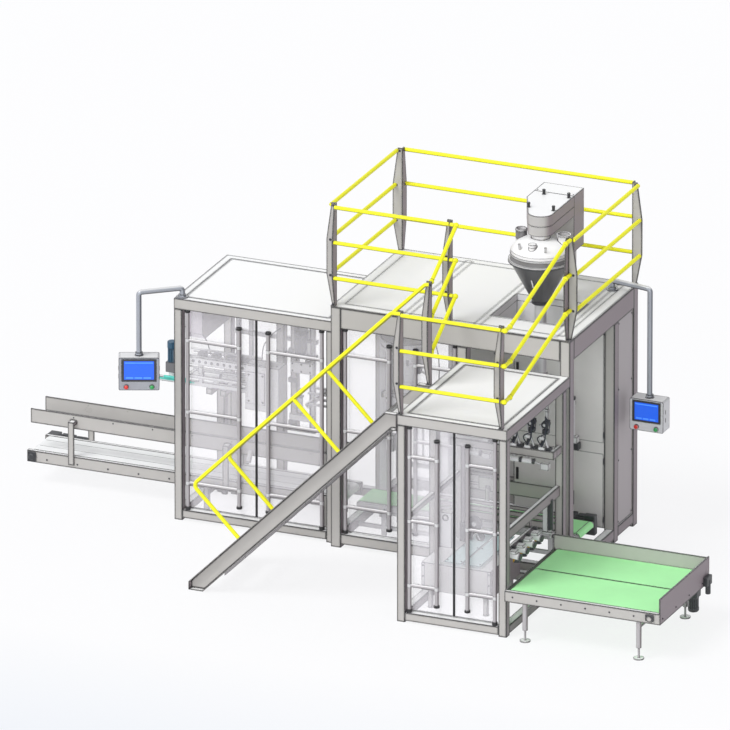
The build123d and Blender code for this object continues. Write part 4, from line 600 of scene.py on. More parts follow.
@dataclass(frozen=True)
class ClearSheet(Look):
    """Clear safety sheet with a faint lilac tint."""

    name: str = "clear_sheet"
    color: tuple[float, float, float] = (0.95, 0.92, 0.98)
    haze: tuple[float, float, float] = (0.95, 0.94, 0.97)
    alpha: float = 0.26
    grain_scale: float = 30.0
    roughness: tuple[float, float] = (0.04, 0.10)

    def paint(self, tree: bpy.types.NodeTree, shader: bpy.types.NodeInputs) -> None:
        """Makes the sheet smooth and see-through, with clouds of a paler tint."""
        grain = effect(tree, "surface_grain", {"Scale": self.grain_scale})
        color = over(tree, (*self.color, 1), self.haze, grain["Soil"])
        rough = stretched(tree, grain["Grain"], *GRAIN_RANGE, *self.roughness)
        fill(tree, shader, {"Base Color": color, "Roughness": rough, "Alpha": self.alpha})


GREY = (0.47, 0.455, 0.437)
FRAME_PAINT = Finish("frame_paint", GREY, 0.5, 0.0, 0.025, top_highlight=1.0, top_highlight_color=HIGHLIGHT_PALE, side=1.0,
                     square=1.0, level=0.0)
PLATE_PAINT = Finish("plate_paint", GREY, 0.5, 0.0, 0.023, top_highlight=1.0, top_highlight_color=HIGHLIGHT_PALE, side=1.0,
                     level=0.2)
DECK_PAINT = Finish("deck_paint", GREY, 0.55, 0.0, 0.018, soil=0.03, top_highlight=1.0,
                    top_highlight_color=(0.96, 0.96, 0.96), side=1.0, level=1.0)
YELLOW = Finish("rail_yellow", (0.92, 0.90, 0.006), 0.5, 0.0, 0.005, edge=0.8, edge_color=SOOT,
                soil=0.02, under=0.85, underside_shade_color=(0.20, 0.19, 0.01))
# The hopper's side shading is a painted highlight: its faces along the line turn lighter.
HOPPER_STEEL = Finish("hopper_steel", (0.10, 0.10, 0.105), 0.34, 0.5, stretch=(12.0, 1.0), side=0.5,
                      side_shading_color=(0.22, 0.21, 0.22))
DOME_STEEL = Finish("dome_steel", (0.84, 0.83, 0.84), 0.32, 0.0, 0.010, soil=0.02, top_highlight=1.0,
                    top_highlight_color=HIGHLIGHT_PALER, side=0.8, side_shading_color=(0.42, 0.40, 0.41))
DRIVE_PAINT = Finish("drive_paint", (0.50, 0.485, 0.48), 0.45, 0.0, 0.014, top_highlight=1.0, top_highlight_color=HIGHLIGHT_PALER,
                     side=1.0)
BRIGHT_STEEL = Finish("bright_steel", (0.66, 0.66, 0.67), 0.36, 0.15, 0.008, stretch=(1.0, 8.0),
                      top_highlight=0.9, side=0.6)
TUBE_STEEL = Finish("tube_steel", (0.44, 0.42, 0.435), 0.36, 0.1, 0.007, top_highlight=1.0,
                    top_highlight_color=(0.95, 0.94, 0.95), side=1.0, side_shading_color=(0.19, 0.165, 0.175),
                    under=1.0, underside_shade_color=(0.03, 0.03, 0.03))
ARM_STEEL = Finish("arm_steel", (0.38, 0.40, 0.45), 0.3, 0.2, 0.009, top_highlight=0.8, side=0.9,
                   side_shading_color=(0.11, 0.115, 0.14), under=1.0)
DRUM_STEEL = Finish("drum_steel", (0.22, 0.215, 0.22), 0.34, 0.3, side=0.9,
                    side_shading_color=(0.10, 0.095, 0.10))
DARK_STEEL = Finish("dark_steel", (0.20, 0.20, 0.21), 0.4, 0.4, 0.005, edge=0.9)
BOLT_STEEL = Finish("bolt_steel", (0.06, 0.06, 0.07), 0.4, 0.5, edge=0.0)
WHITE_PANEL = Finish("white_panel", (0.84, 0.835, 0.85), 0.5, 0.0, 0.009, soil=0.03, top_highlight=0.9,
                     side=0.7, side_shading_color=(0.50, 0.47, 0.49))
TABLE_PAINT = Finish("table_paint", (0.66, 0.65, 0.64), 0.5, 0.0, 0.010, soil=0.03, top_highlight=1.0,
                     top_highlight_color=HIGHLIGHT_PALE, side=1.0)
LILAC_PAINT = Finish("lilac_paint", (0.84, 0.78, 0.85), 0.5, 0.0, 0.009, soil=0.03, top_highlight=0.9, side=0.8)
CABINET_PAINT = Finish("cabinet_paint", (0.74, 0.725, 0.71), 0.55, 0.0, 0.012, square=1.0, side=0.9,
                       side_shading_color=(0.40, 0.36, 0.38))
BELT_GREEN = Finish("belt_green", (0.46, 0.98, 0.46), 0.75, edge=0.9, grain_scale=700, bump=0.2)
BELT_WHITE = Finish("belt_white", (0.93, 0.94, 0.94), 0.7, edge=0.9, grain_scale=700, bump=0.2)
PLATE_CYAN = Finish("plate_cyan", (0.76, 1.0, 1.0), 0.5, soil=0.02)
TEAL = Finish("teal_paint", (0.10, 0.66, 0.56), 0.4, 0.0, 0.003, edge=0.4, edge_color=SOOT)
MOTOR_BLACK = Finish("motor_black", (0.035, 0.037, 0.042), 0.4, 0.0, 0.003, edge=0.5,
                     edge_color=(0.2, 0.2, 0.21))
MOTOR_BLUE = Finish("motor_blue", (0.03, 0.10, 0.17), 0.4, 0.0, 0.004, edge=0.6)
BLACK_PLASTIC = Finish("black_plastic", (0.02, 0.02, 0.022), 0.5, edge=0.0, grain_scale=900)
SEAL_RUBBER = Finish("seal_rubber", (0.02, 0.02, 0.022), 0.7, edge=0.0, grain_scale=900)
SCREEN_GREY = Finish("screen_housing", (0.36, 0.37, 0.41), 0.5, 0.0, 0.012, top_highlight=0.8)
SCREEN_PALE = Finish("screen_pale", (0.66, 0.66, 0.69), 0.5, 0.0, 0.012, top_highlight=0.8)
DISPLAY_BLUE = Finish("display_blue", (0.015, 0.09, 0.58), 0.2, edge=0.0, glow=0.75, soil=0.02)
DISPLAY_PALE = Finish("display_pale", (0.06, 0.22, 0.80), 0.2, edge=0.0, glow=0.7, soil=0.02)
BUTTON_RED = Finish("button_red", (0.72, 0.03, 0.02), 0.35, edge=0.0, coat=0.4)
BUTTON_GREEN = Finish("button_green", (0.02, 0.35, 0.08), 0.35, edge=0.0, coat=0.4)
BELLOWS_AMBER = Finish("bellows_amber", (0.55, 0.30, 0.03), 0.5, edge=0.0)
AIR_HOSE = Finish("air_hose", (0.03, 0.035, 0.05), 0.45, edge=0.0)
CLEAR_SHEET = ClearSheet()


def piece(shell: Shell, name: str, finish: Look, body: str = BODY,
          replaces: tuple[str, ...] = ()) -> None:
    """Turns a shell into a finished piece that rides on a body.

    Args:
        shell: The collected surfaces.
        name: Name of the piece.
        finish: Its finish.
        body: The body that it rides on.
        replaces: Nodes of the frame that it stands for.
    """
    thing = shell.mesh(name)
    thing.data.materials.append(finish.material())
    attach(thing, body)
    if replaces:
        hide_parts(*replaces)
    LOG.info("%s: %d faces", name, len(thing.data.polygons))


@dataclass
class FrameFinishes:
    """Gives every node of the frame its finish. Nodes that the plan doesn't name are door leaves."""

    plan: tuple = (
        (FRAME_PAINT, ("main_posts", "main_beams", "base_rails", "closing_posts", "bag_posts",
                       "bag_rails", "sealer_stand", "bag_lift")),
        (DECK_PAINT, ("main_deck", "closing_top", "bag_top")),
        (PLATE_PAINT, ("stair_stringers", "guard_posts", "discharge_frame", "discharge_guides",
                       "magazine_frame")),
        (YELLOW, ("stair_handrails", "guard_rails", "rail_elbows")),
        (BRIGHT_STEEL, ("stair_treads", "spout_tube", "drive_columns", "transfer_frame", "bag_gantry",
                        "filling_column")),
        (WHITE_PANEL, ("deck_hatch", "band_sealer")),
        (DRIVE_PAINT, ("agitator_drive", "motor_box")),
        (CABINET_PAINT, ("control_cabinet", "cabinet_panels")),
        (BELT_GREEN, ("transfer_belt", "magazine_belts")),
        (BELT_WHITE, ("discharge_belt",)),
        (ARM_STEEL, ("screen_sockets", "screen_right_arm", "screen_left_arm")),
        (HOPPER_STEEL, ("hopper_shell",)), (DOME_STEEL, ("hopper_dome",)),
        (TUBE_STEEL, ("magazine_legs",)), (MOTOR_BLACK, ("conveyor_motors",)),
        (TABLE_PAINT, ("bag_table",)), (PLATE_CYAN, ("bag_plates",)), (LILAC_PAINT, ("feed_box",)),
        (BLACK_PLASTIC, ("door_bearings",)), (CLEAR_SHEET, ("side_glazing",)),
        (SCREEN_PALE, ("screen_right_box",)), (SCREEN_GREY, ("screen_left_box",)),
    )

    def dress(self, nodes: dict[str, bpy.types.Object]) -> None:
        """Assigns each node's material to its slots.

        Args:
            nodes: The frame's node objects by name.
        """
        finishes = {name: finish for finish, names in self.plan for name in names}
        for name, node in nodes.items():
            leaf = CLEAR_SHEET if name.endswith("_pane") else TUBE_STEEL
            material = finishes.get(name, leaf).material()
            if not node.material_slots:
                node.data.materials.append(material)
            for material_slot in node.material_slots:
                material_slot.material = material
        LOG.info("dressed %d nodes", len(nodes))


@dataclass
class TopSeams:
    """Dark joint lines where the top sheets are let into their frames, in millimetres.

    Each top is given by its left, right, near and far end, its height and the width of its frame.
    """

    width: float = 5.0
    deep: float = 8.0
    sunk: float = 2.0
    rise: float = 0.8
    tops: tuple = ((-1610, 0, 80, 1330, 2190, 74), (0, 2390, 0, 1650, 2378, 100),
                   (1300, 2390, -1510, 0, 2030, 74))

    def build(self) -> None:
        """Lays four strips round each top."""
        shell = Shell()
        for x0, x1, y0, y1, top, inset in self.tops:
            a, b, c, d = x0 + inset, x1 - inset, y0 + inset, y1 - inset
            for p, q, r, s in ((a, b, c, c + self.deep), (a, b, d - self.deep, d),
                               (a, a + self.width, c, d), (b - self.width, b, c, d)):
                shell.box(at(p, r, top - self.sunk), at(q, s, top + self.rise), 0.0003)
        piece(shell, "top_seams", DARK_STEEL)


@dataclass
class GuardFasteners:
    """Bolts of the guard rail's angle posts, in millimetres.

    Each post is given by its corner, the height of its deck and the two directions of its plates.
    A reach is how far from the corner the bolts of its level sit.
    """

    levels: tuple = (290, 640, 981)
    reaches: tuple = (62, 62, 31)
    posts: tuple = ((45, 45, 2378, -1, -1), (45, 1605, 2378, -1, 1), (2345, 1605, 2378, 1, 1),
                    (2345, 45, 2378, 1, -1), (1202, 45, 2378, -1, -1), (1345, -1465, 2030, -1, -1),
                    (2345, -1465, 2030, -1, -1), (1292, -663, 2030, -1, -1))
    plate: float = 12.0
    foot: float = 30.0

    def build(self) -> None:
        """Puts a bolt on both faces of both plates at each rail, and on each foot."""
        shell = Shell()
        for x, y, deck, turn_x, turn_y in self.posts:
            for level, reach in zip(self.levels, self.reaches):
                for side, depth in ((-1, 0.0), (1, self.plate)):
                    shell.bolt(at(x + turn_x * reach, y + turn_y * depth, deck + level),
                               (0, side * turn_y, 0), 0.017)
                    shell.bolt(at(x + turn_x * depth, y + turn_y * reach, deck + level),
                               (side * turn_x, 0, 0), 0.017)
            shell.bolt(at(x + turn_x * self.foot, y + turn_y * self.foot, deck + 8), UP, 0.016)
        piece(shell, "guard_bolts", BOLT_STEEL)


@dataclass
class Stair:
    """Ribbed tread noses of the stair, in millimetres."""

    foot: float = -780.0
    toe: float = 80.0
    lap: float = 20.0
    height: float = 2030.0
    treads: int = 9
    near: float = -1470.0
    far: float = -720.0
    ribs: int = 4
    pitch: float = 11.0
    rib: float = 5.0

    def build(self) -> None:
        """Adds the ribbed noses of the treads."""
        noses = Shell()
        rise = self.height / (self.treads + 1)
        for step, rib in product(range(1, self.treads + 1), range(self.ribs)):
            z = step * rise
            x = self.foot - self.toe + z + self.lap + 6 + rib * self.pitch
            noses.box(at(x, self.near + self.lap, z - 0.5), at(x + self.rib, self.far - self.lap, z + 2.5),
                      0.001)
        piece(noses, "stair_noses", DARK_STEEL)


@dataclass(frozen=True)
class Leaf:
    """One door leaf, in millimetres.

    Attributes:
        name: Its body.
        hinge: Place of its pivot along the line.
        handle: Place of its pull tube.
        meeting: Place of its free edge.
        row: Place of its tubes away from the doors' side.
        sill: Its foot.
        head: Its top.
        drop: How far the highest crossbar lies under the top.
    """

    name: str
    hinge: float
    handle: float
    meeting: float
    row: float
    sill: float
    head: float
    drop: float


@dataclass
class Doors:
    """Seal strips, tube caps and pane screws of the six door leaves, in millimetres."""

    leaves: tuple[Leaf, ...] = (
        Leaf("closing_door_left", -1485, -967, -805, 110, 105, 2090, 305),
        Leaf("closing_door_right", -135, -674, -805, 110, 105, 2090, 305),
        Leaf("filling_door_left", 130, 571, 680, 40, 136, 2166, 266),
        Leaf("filling_door_right", 1230, 834, 680, 40, 136, 2166, 266),
        Leaf("bag_door_left", 1413, 1684, 1845, -1480, 95, 1930, 305),
        Leaf("bag_door_right", 2263, 1990, 1845, -1480, 95, 1930, 305),
    )
    tube: float = 38.0
    clip: float = 8.3
    gap: float = 1.5
    seal: float = 11.0
    edge: float = 10.0
    lowest: float = 265.0
    screw_inset: float = 70.0

    def build(self) -> None:
        """Builds each leaf's trim on its own body."""
        for leaf in self.leaves:
            self.trim(leaf)

    def trim(self, leaf: Leaf) -> None:
        """Adds seal, tube caps, edge strips, pane screws and tube clamps to one leaf."""
        strip, metal = Shell(), Shell()
        side = 1 if leaf.hinge < leaf.meeting else -1
        front = leaf.row + self.tube / 2 + self.clip
        sealed = leaf.meeting - side * self.seal
        left, right = sorted((sealed, leaf.meeting - side * self.gap))
        strip.box(at(left, front - 3, leaf.sill + self.edge),
                  at(right, front + 9, leaf.head - self.edge), 0.002)
        for z in (leaf.sill + 82, leaf.head - 131):
            strip.rod(at(leaf.handle, leaf.row, z), at(leaf.handle, leaf.row, z + 24), 0.0555, 0.004, 24)
        left, right = sorted((leaf.hinge + side * self.tube / 2, sealed))
        for z in (leaf.sill + self.edge, leaf.head - self.edge - 8):
            metal.box(at(left, front - 2, z), at(right, front + 8, z + 8), 0.001)
        low, high = leaf.sill + self.lowest, leaf.head - leaf.drop
        for z in (low, (low + high) / 2, high):
            for x in (leaf.hinge + side * self.screw_inset, leaf.handle - side * self.screw_inset):
                metal.rod(at(x, front + 5.8, z), at(x, front + 9, z), 0.022, 0.001, 16)
            for x in (leaf.hinge, leaf.handle):
                metal.rod(at(x, leaf.row, z - 22), at(x, leaf.row, z + 22), 0.0425, 0.003, 20)
        piece(strip, leaf.name + "_seal", SEAL_RUBBER, leaf.name)
        piece(metal, leaf.name + "_clamps", BRIGHT_STEEL, leaf.name)


@dataclass
class Hopper:
    """Cone and fittings of the powder hopper and of its agitator drive, in millimetres."""

    x: float = 1827.0
    y: float = 652.0
    outlet: float = 2465.0
    base: float = 2882.0
    drive: float = 3142.0
    top: float = 3342.0
    neck: float = 78.0
    mouth: float = 284.0
    collar: float = 12.0
    rise: float = 391.0
    bolt_circle: float = 291.0
    bolt_count: int = 12
    port_radius: float = 52.0
    housing_back: float = 511.0
    box_depth: float = 237.0

    def build(self) -> None:
        """Builds the cone, the fittings round it and the fittings of the drive."""
        self.cone()
        self.flange()
        self.sight()
        self.liner()
        self.drive_fittings()

    def axis_at(self, z: float) -> np.ndarray:
        """Gives the point of the hopper's axis at a height."""
        return at(self.x, self.y, z)

    def cone(self) -> None:
        """Builds the cone as one turned shell, with the flange on top and a collar at the outlet."""
        shell, collar = Shell(), Shell()
        neck, mouth = self.neck / 1000, self.mouth / 1000
        shell.lathe([(0.052, 0.0), (neck, 0.0), (neck, 0.012), (mouth, 0.401), (0.300, 0.403),
                     (0.300, 0.417), (0.276, 0.417), (0.270, 0.398), (0.052, 0.012), (0.052, 0.0)],
                    self.axis_at(self.outlet), UP, 72)
        collar.lathe([(0.054, 0), (0.084, 0.001), (0.086, 0.004), (0.086, 0.016), (0.080, 0.019),
                      (0.054, 0.019), (0.054, 0)], self.axis_at(self.outlet - 12), UP, 48)
        collar.ring(self.axis_at(self.outlet + 404), 0.3, 0.3035, 0.012, 0.002, 72)
        piece(shell, "hopper_cone", HOPPER_STEEL, replaces=("hopper_shell",))
        piece(collar, "outlet_ring", MOTOR_BLACK)

    def liner(self) -> None:
        """Lines the hatch under its collar with four pale sheets."""
        shell = Shell()
        sheet = 4
        x0, x1, y0, y1 = self.x - 366, self.x + 342, self.y - 311, self.y + 307
        for low, high in (((x0, y0), (x0 + sheet, y1)), ((x1 - sheet, y0), (x1, y1)),
                          ((x0, y0), (x1, y0 + sheet)), ((x0, y1 - sheet), (x1, y1))):
            shell.box(at(*low, 2120), at(*high, 2319), 0.001)
        piece(shell, "hatch_liner", WHITE_PANEL)

    def flange(self) -> None:
        """Puts bolts round the flange, bands and a drum sleeve at the joints, and rims on the ports."""
        bolts, bands, drum = Shell(), Shell(), Shell()
        drum.ring(self.axis_at(self.base + 3), 0.2802, 0.2825, 0.053, 0.001, 72)
        for turn in (np.arange(self.bolt_count) + 0.5) * math.tau / self.bolt_count:
            x, y = self.x + self.bolt_circle * math.cos(turn), self.y + self.bolt_circle * math.sin(turn)
            bolts.bolt(at(x, y, self.base - 14), (0, 0, -1), 0.011)
        for z, radius in ((self.base + 60, 0.2815), (self.outlet + 6, 0.058)):
            bands.ring(self.axis_at(z), radius, radius + 0.004, 0.018, 0.002, 64)
        r = self.port_radius / 1000
        for x in (self.x - 214, self.x + 209):
            bands.ring(at(x, self.y + 48, self.drive - 22), r, r + 0.006, 0.012, 0.002)
            drum.ring(at(x, self.y + 48, self.drive - 98), r + 0.0004, r + 0.0016, 0.075, 0.001)
        bands.rod(at(self.x - 120, self.y - 215, 3035), at(self.x - 124, self.y - 222, 3090), 0.026)
        bands.rod(at(self.x + 130, self.y - 205, 3035), at(self.x + 134, self.y - 212, 3085), 0.022)
        piece(bolts, "hopper_bolts", BOLT_STEEL)
        piece(bands, "hopper_bands", BRIGHT_STEEL)
        piece(drum, "hopper_drum", DRUM_STEEL)

    def sight(self) -> None:
        """Sets a pale glass in a dark frame on the cone's front: a slot is a circle drawn apart."""
        slope = math.atan2(self.mouth - self.neck, self.rise)
        normal = np.array([0, -math.cos(slope), -math.sin(slope)])
        up = np.array([0, -math.sin(slope), math.cos(slope)])
        level, half_length = 225.0, 0.048
        radius = self.neck + (self.mouth - self.neck) * level / self.rise
        centre = at(self.x, self.y - radius, self.outlet + self.collar + level)
        t = np.linspace(0, math.tau, 32, endpoint=False)
        for name, finish, slot, half, thick in (("sight_frame", MOTOR_BLACK, Slot.BLACK, 0.014, 0.003),
                                                ("sight_glass", WHITE_PANEL, Slot.PANEL, 0.0085, 0.0045)):
            shell = Shell()
            upward = half * np.sin(t) + np.sign(np.sin(t)) * half_length
            outline = np.stack([half * np.cos(t), upward], axis=-1)
            shell.plate(outline, centre - normal * 0.001, ALONG, tuple(up), thick)
            piece(shell, name, finish)

    def drive_fittings(self) -> None:
        """Adds sleeves and knobs to the housing's pins, and louvres, a gland and screws to the box."""
        black, steel = Shell(), Shell()
        left, right = self.x - 278, self.x + 122
        housing_back = self.y + self.housing_back
        box_back = housing_back + self.box_depth
        for x, y in product((left + 122, right - 30), (self.y + 244 / 3, housing_back - 60)):
            black.lathe([(0.0125, 0), (0.015, 0), (0.0165, 0.006), (0.015, 0.013), (0.0125, 0.0155),
                         (0.0125, 0)], at(x, y, self.top + 34), UP, 20)
            black.ring(at(x, y, self.top + 2), 0.0122, 0.0142, 0.033, sides=20)
            steel.ring(at(x, y, self.top), 0.0127, 0.020, 0.003, sides=20)
        for z in range(2860, 3053, 24):
            steel.box(at(left + 68, box_back - 1, z), at(right - 68, box_back + 5, z + 8), 0.002)
        gland = (self.x - 78, box_back - 120)
        steel.rod(at(*gland, self.top - 550), at(*gland, self.top - 572), 0.034, 0.002, 6)
        screws = (left + 22, right - 22)
        steel.bolts(product(screws, (box_back,), (self.top - 530, self.top - 20)), AWAY, 0.012)
        steel.bolts(product(screws, (housing_back + 30,), (self.top,)), UP, 0.010)
        piece(black, "drive_knobs", BLACK_PLASTIC)
        piece(steel, "drive_trim", BRIGHT_STEEL)


@dataclass
class ScreenPanel:
    """Display, bezel, push buttons and latches of one operator screen, in millimetres and degrees.

    The screen hangs at the end of an arm that points at an angle from its pivot, and faces its own way.
    """

    name: str
    pivot: tuple[float, float]
    angle: float
    top: float
    width: float
    height: float
    face: float
    arm: float = 418.0
    depth: float = 155.0
    rim: float = 14.0
    margin: float = 74.0

    @property
    def turn(self) -> float:
        """The screen's turn about the vertical in radians."""
        return math.radians(self.face)

    @property
    def centre(self) -> np.ndarray:
        """The middle of the screen, at the end of its arm."""
        angle = math.radians(self.angle)
        x, y = self.pivot[0] + self.arm * math.cos(angle), self.pivot[1] + self.arm * math.sin(angle)
        return at(x, y, self.top - 10 - self.height / 2)

    def slab(self, shell: Shell, low: tuple, high: tuple, radius: float) -> None:
        """Adds a box given in the screen's own millimetres."""
        shell.box(self.centre + np.array(low) / 1000, self.centre + np.array(high) / 1000, radius,
                  self.turn, self.centre)

    def build(self) -> None:
        """Builds the display and its trim on the screen's body."""
        body = self.name + "_panel"
        bezel, blue, pale, trim = Shell(), Shell(), Shell(), Shell()
        front, half = -self.depth / 2, self.width / 2
        x0, x1, z1 = -half + 2 * self.rim, half - 2 * self.rim, self.height / 2 - self.rim
        z0 = z1 - (self.height - self.margin - 2 * self.rim)
        self.slab(bezel, (x0 + 2, front - 2, z0 + 2), (x1 - 2, front + 3.6, z1 - 2), 0.0015)
        self.slab(blue, (x0 + 22, front - 3.2, z0 + 18), (x1 - 22, front + 1, z1 - 18), 0.0008)
        self.slab(pale, (x0 + 30, front - 3.9, z1 - 40), (x1 - 30, front, z1 - 30), 0.0003)
        step = (x1 - x0 - 76) / 3
        for left in x0 + 38 + step * np.arange(3):
            self.slab(pale, (left, front - 3.9, z0 + 28), (left + step - 12, front, z0 + 42), 0.0003)
        piece(bezel, self.name + "_bezel", MOTOR_BLACK, body)
        piece(blue, self.name + "_display", DISPLAY_BLUE, body)
        piece(pale, self.name + "_fields", DISPLAY_PALE, body)
        axis = tuple(np.array(FRONT) @ spin(self.turn))
        for x, finish, label in ((70 - half, BUTTON_RED, "stop"), (half - 70, BUTTON_GREEN, "start")):
            foot = self.centre + (np.array([x, front, 36 - self.height / 2]) / 1000) @ spin(self.turn)
            cap = Shell()
            cap.lathe([(0, 0.014), (0.0185, 0.014), (0.0195, 0.018), (0.0188, 0.024), (0.012, 0.028),
                       (0, 0.029)], foot, axis, 28)
            piece(cap, f"{self.name}_{label}", finish, body)
            trim.lathe([(0.0182, 0), (0.024, 0), (0.024, 0.004), (0.0182, 0.005), (0.0182, 0)],
                       foot, axis, 28)
        for x, z in product((-half, half), (-60, 20)):
            self.slab(trim, (x - 2.5, -30, z), (x + 2.5, -18, z + 40), 0.001)
        piece(trim, self.name + "_trim", DARK_STEEL, body)


@dataclass
class Motors:
    """Finned geared motors of the three conveyors, in millimetres."""

    upright_x: float = 3800.0
    upright_y: float = -425.0

    def build(self) -> None:
        """Builds gear block, finned body, terminal box and fan cover of each motor."""
        shell = Shell()
        self.lying(shell, -3250, 935, 266, 280, 110)
        self.lying(shell, 1970, 890, 265, 180, 120)
        self.upright(shell)
        self.tensioner(shell)
        piece(shell, "geared_motors", MOTOR_BLACK, replaces=("conveyor_motors",))

    @staticmethod
    def lying(shell: Shell, x: float, y: float, z: float, length: float, size: float) -> None:
        """Adds a motor along the line, its gear block at the left end.

        Args:
            shell: Shell that takes it.
            x: Left end of the gear block.
            y: Place of its axis away from the doors' side.
            z: Height of its axis.
            length: Length of motor and fan cover.
            size: Width of the gear block.
        """
        half, metres = size / 2, size / 1000
        start, joint = x + size, x + size + length * 0.62
        shell.box(at(x, y - half, z - half), at(start, y + half, z + half), 0.008)
        shell.rod(at(x + half, y - half - 0.5, z), at(x + half, y + half, z), metres * 0.7, 0.002, 24)
        shell.rod(at(start, y, z), at(start + 10, y, z), metres * 0.94, 0.002, 28)
        shell.finned(at(start + 10, y, z), at(joint - 6, y, z), metres * 0.88, 16, 0.007)
        shell.rod(at(joint - 6, y, z), at(joint + 4, y, z), metres * 0.92, 0.002, 28)
        r, end = metres * 0.48, (length * 0.38 - 4) / 1000
        shell.lathe([(0, 0), (r, 0), (r, end - 0.012), (r * 0.86, end), (r * 0.3, end),
                     (r * 0.25, end - 0.004), (0, end - 0.004)], at(joint + 4, y, z), ALONG, 28)
        shell.box(at(start + 24, y - half / 2, z + half * 0.72),
                  at(joint - 14, y + half / 2, z + half), 0.004)

    def upright(self, shell: Shell) -> None:
        """Adds the motor that hangs under the magazine's back rail."""
        x, y = self.upright_x, self.upright_y
        shell.box(at(x - 54, y - 54, 230), at(x + 54, y + 54, 375), 0.010)
        shell.rod(at(x, y, 222), at(x, y, 231), 0.104, 0.002, 28)
        shell.finned(at(x, y, 128), at(x, y, 222), 0.098, 16, 0.007)
        shell.lathe([(0, 0), (0.052, 0), (0.052, 0.026), (0.044, 0.038), (0.015, 0.038), (0.012, 0.034),
                     (0, 0.034)], at(x, y, 128), (0, 0, -1), 28)

    @staticmethod
    def tensioner(shell: Shell) -> None:
        """Adds the tensioner on the magazine's end plate."""
        shell.rod(at(3957, -460, 295), at(3957, -460, 435), 0.050, 0.004, 24)
        shell.rod(at(3957, -460, 435), at(3957, -460, 452), 0.030, 0.003, 6)


@dataclass
class Conveyors:
    """Bearings, belt lines and screws of the conveyors, in millimetres."""

    rail: float = 420.0
    shaft: float = 266.0

    def build(self) -> None:
        """Adds the fittings of the discharge, transfer and magazine conveyors."""
        black, steel, lines = Shell(), Shell(), Shell()
        for x in (-3200, -150):
            y, z = self.rail - 16, self.shaft
            black.box(at(x - 42, y, z - 50), at(x + 42, self.rail - 0.3, z + 50), 0.006)
            black.lathe([(0, 0), (0.030, 0), (0.030, 0.006), (0.022, 0.012), (0, 0.012)],
                        at(x, y, z), FRONT, 24)
            steel.bolts(product((x - 32, x + 32), (y,), (z - 38, z + 38)), FRONT, 0.009)
        steel.bolts(product(range(-3050, -200, 310), (self.rail,), (250,)), FRONT, 0.012)
        for y in (575, 725):
            lines.box(at(-3190, y, 321), at(-110, y + 5, 322.6), 0.0004)
        steel.bolts(product(range(-2800, -399, 400), (474, 820), (690,)), FRONT, 0.010)
        steel.bolts(product(range(2470, 3900, 240), (-1560,), (428,)), FRONT, 0.012)
        steel.bolts(product((3932,), range(-1500, -539, 320), (420,)), ALONG, 0.012)
        black.box(at(3790, -1581, 405), at(3870, -1560.3, 468), 0.004)
        black.box(at(3933, -520, 380), at(3975, -400, 470), 0.006)
        for y, way in ((449, FRONT), (831, AWAY)):
            steel.bolts(product((350, 2010), (y,), (255,)), way, 0.012)
        piece(black, "conveyor_bearings", MOTOR_BLACK)
        piece(steel, "conveyor_bolts", BOLT_STEEL)
        piece(lines, "belt_lines", DARK_STEEL)


def cylinder_set(steel: Shell, black: Shell, start: np.ndarray, end: np.ndarray, diameter: float,
                 stroke: float) -> None:
    """Adds an air cylinder: two square end blocks, a smooth barrel and a rod that stands out.

    Args:
        steel: Shell for barrel and rod.
        black: Shell for the end blocks.
        start: Middle of the closed end.
        end: Middle of the rod end.
        diameter: Barrel diameter in metres.
        stroke: How far the rod stands out in metres.
    """
    start, end = np.asarray(start, float), np.asarray(end, float)
    way = unit(end - start)
    block = way * diameter * 0.45
    steel.rod(start, end, diameter, 0.001, 20)
    steel.rod(end, end + way * stroke, diameter * 0.38, 0.001, 12)
    for middle in (start + block / 2, end - block / 2):
        half = np.full(3, diameter * 0.56)
        half[int(np.argmax(np.abs(way)))] = diameter * 0.225
        black.box(middle - half, middle + half, 0.002)


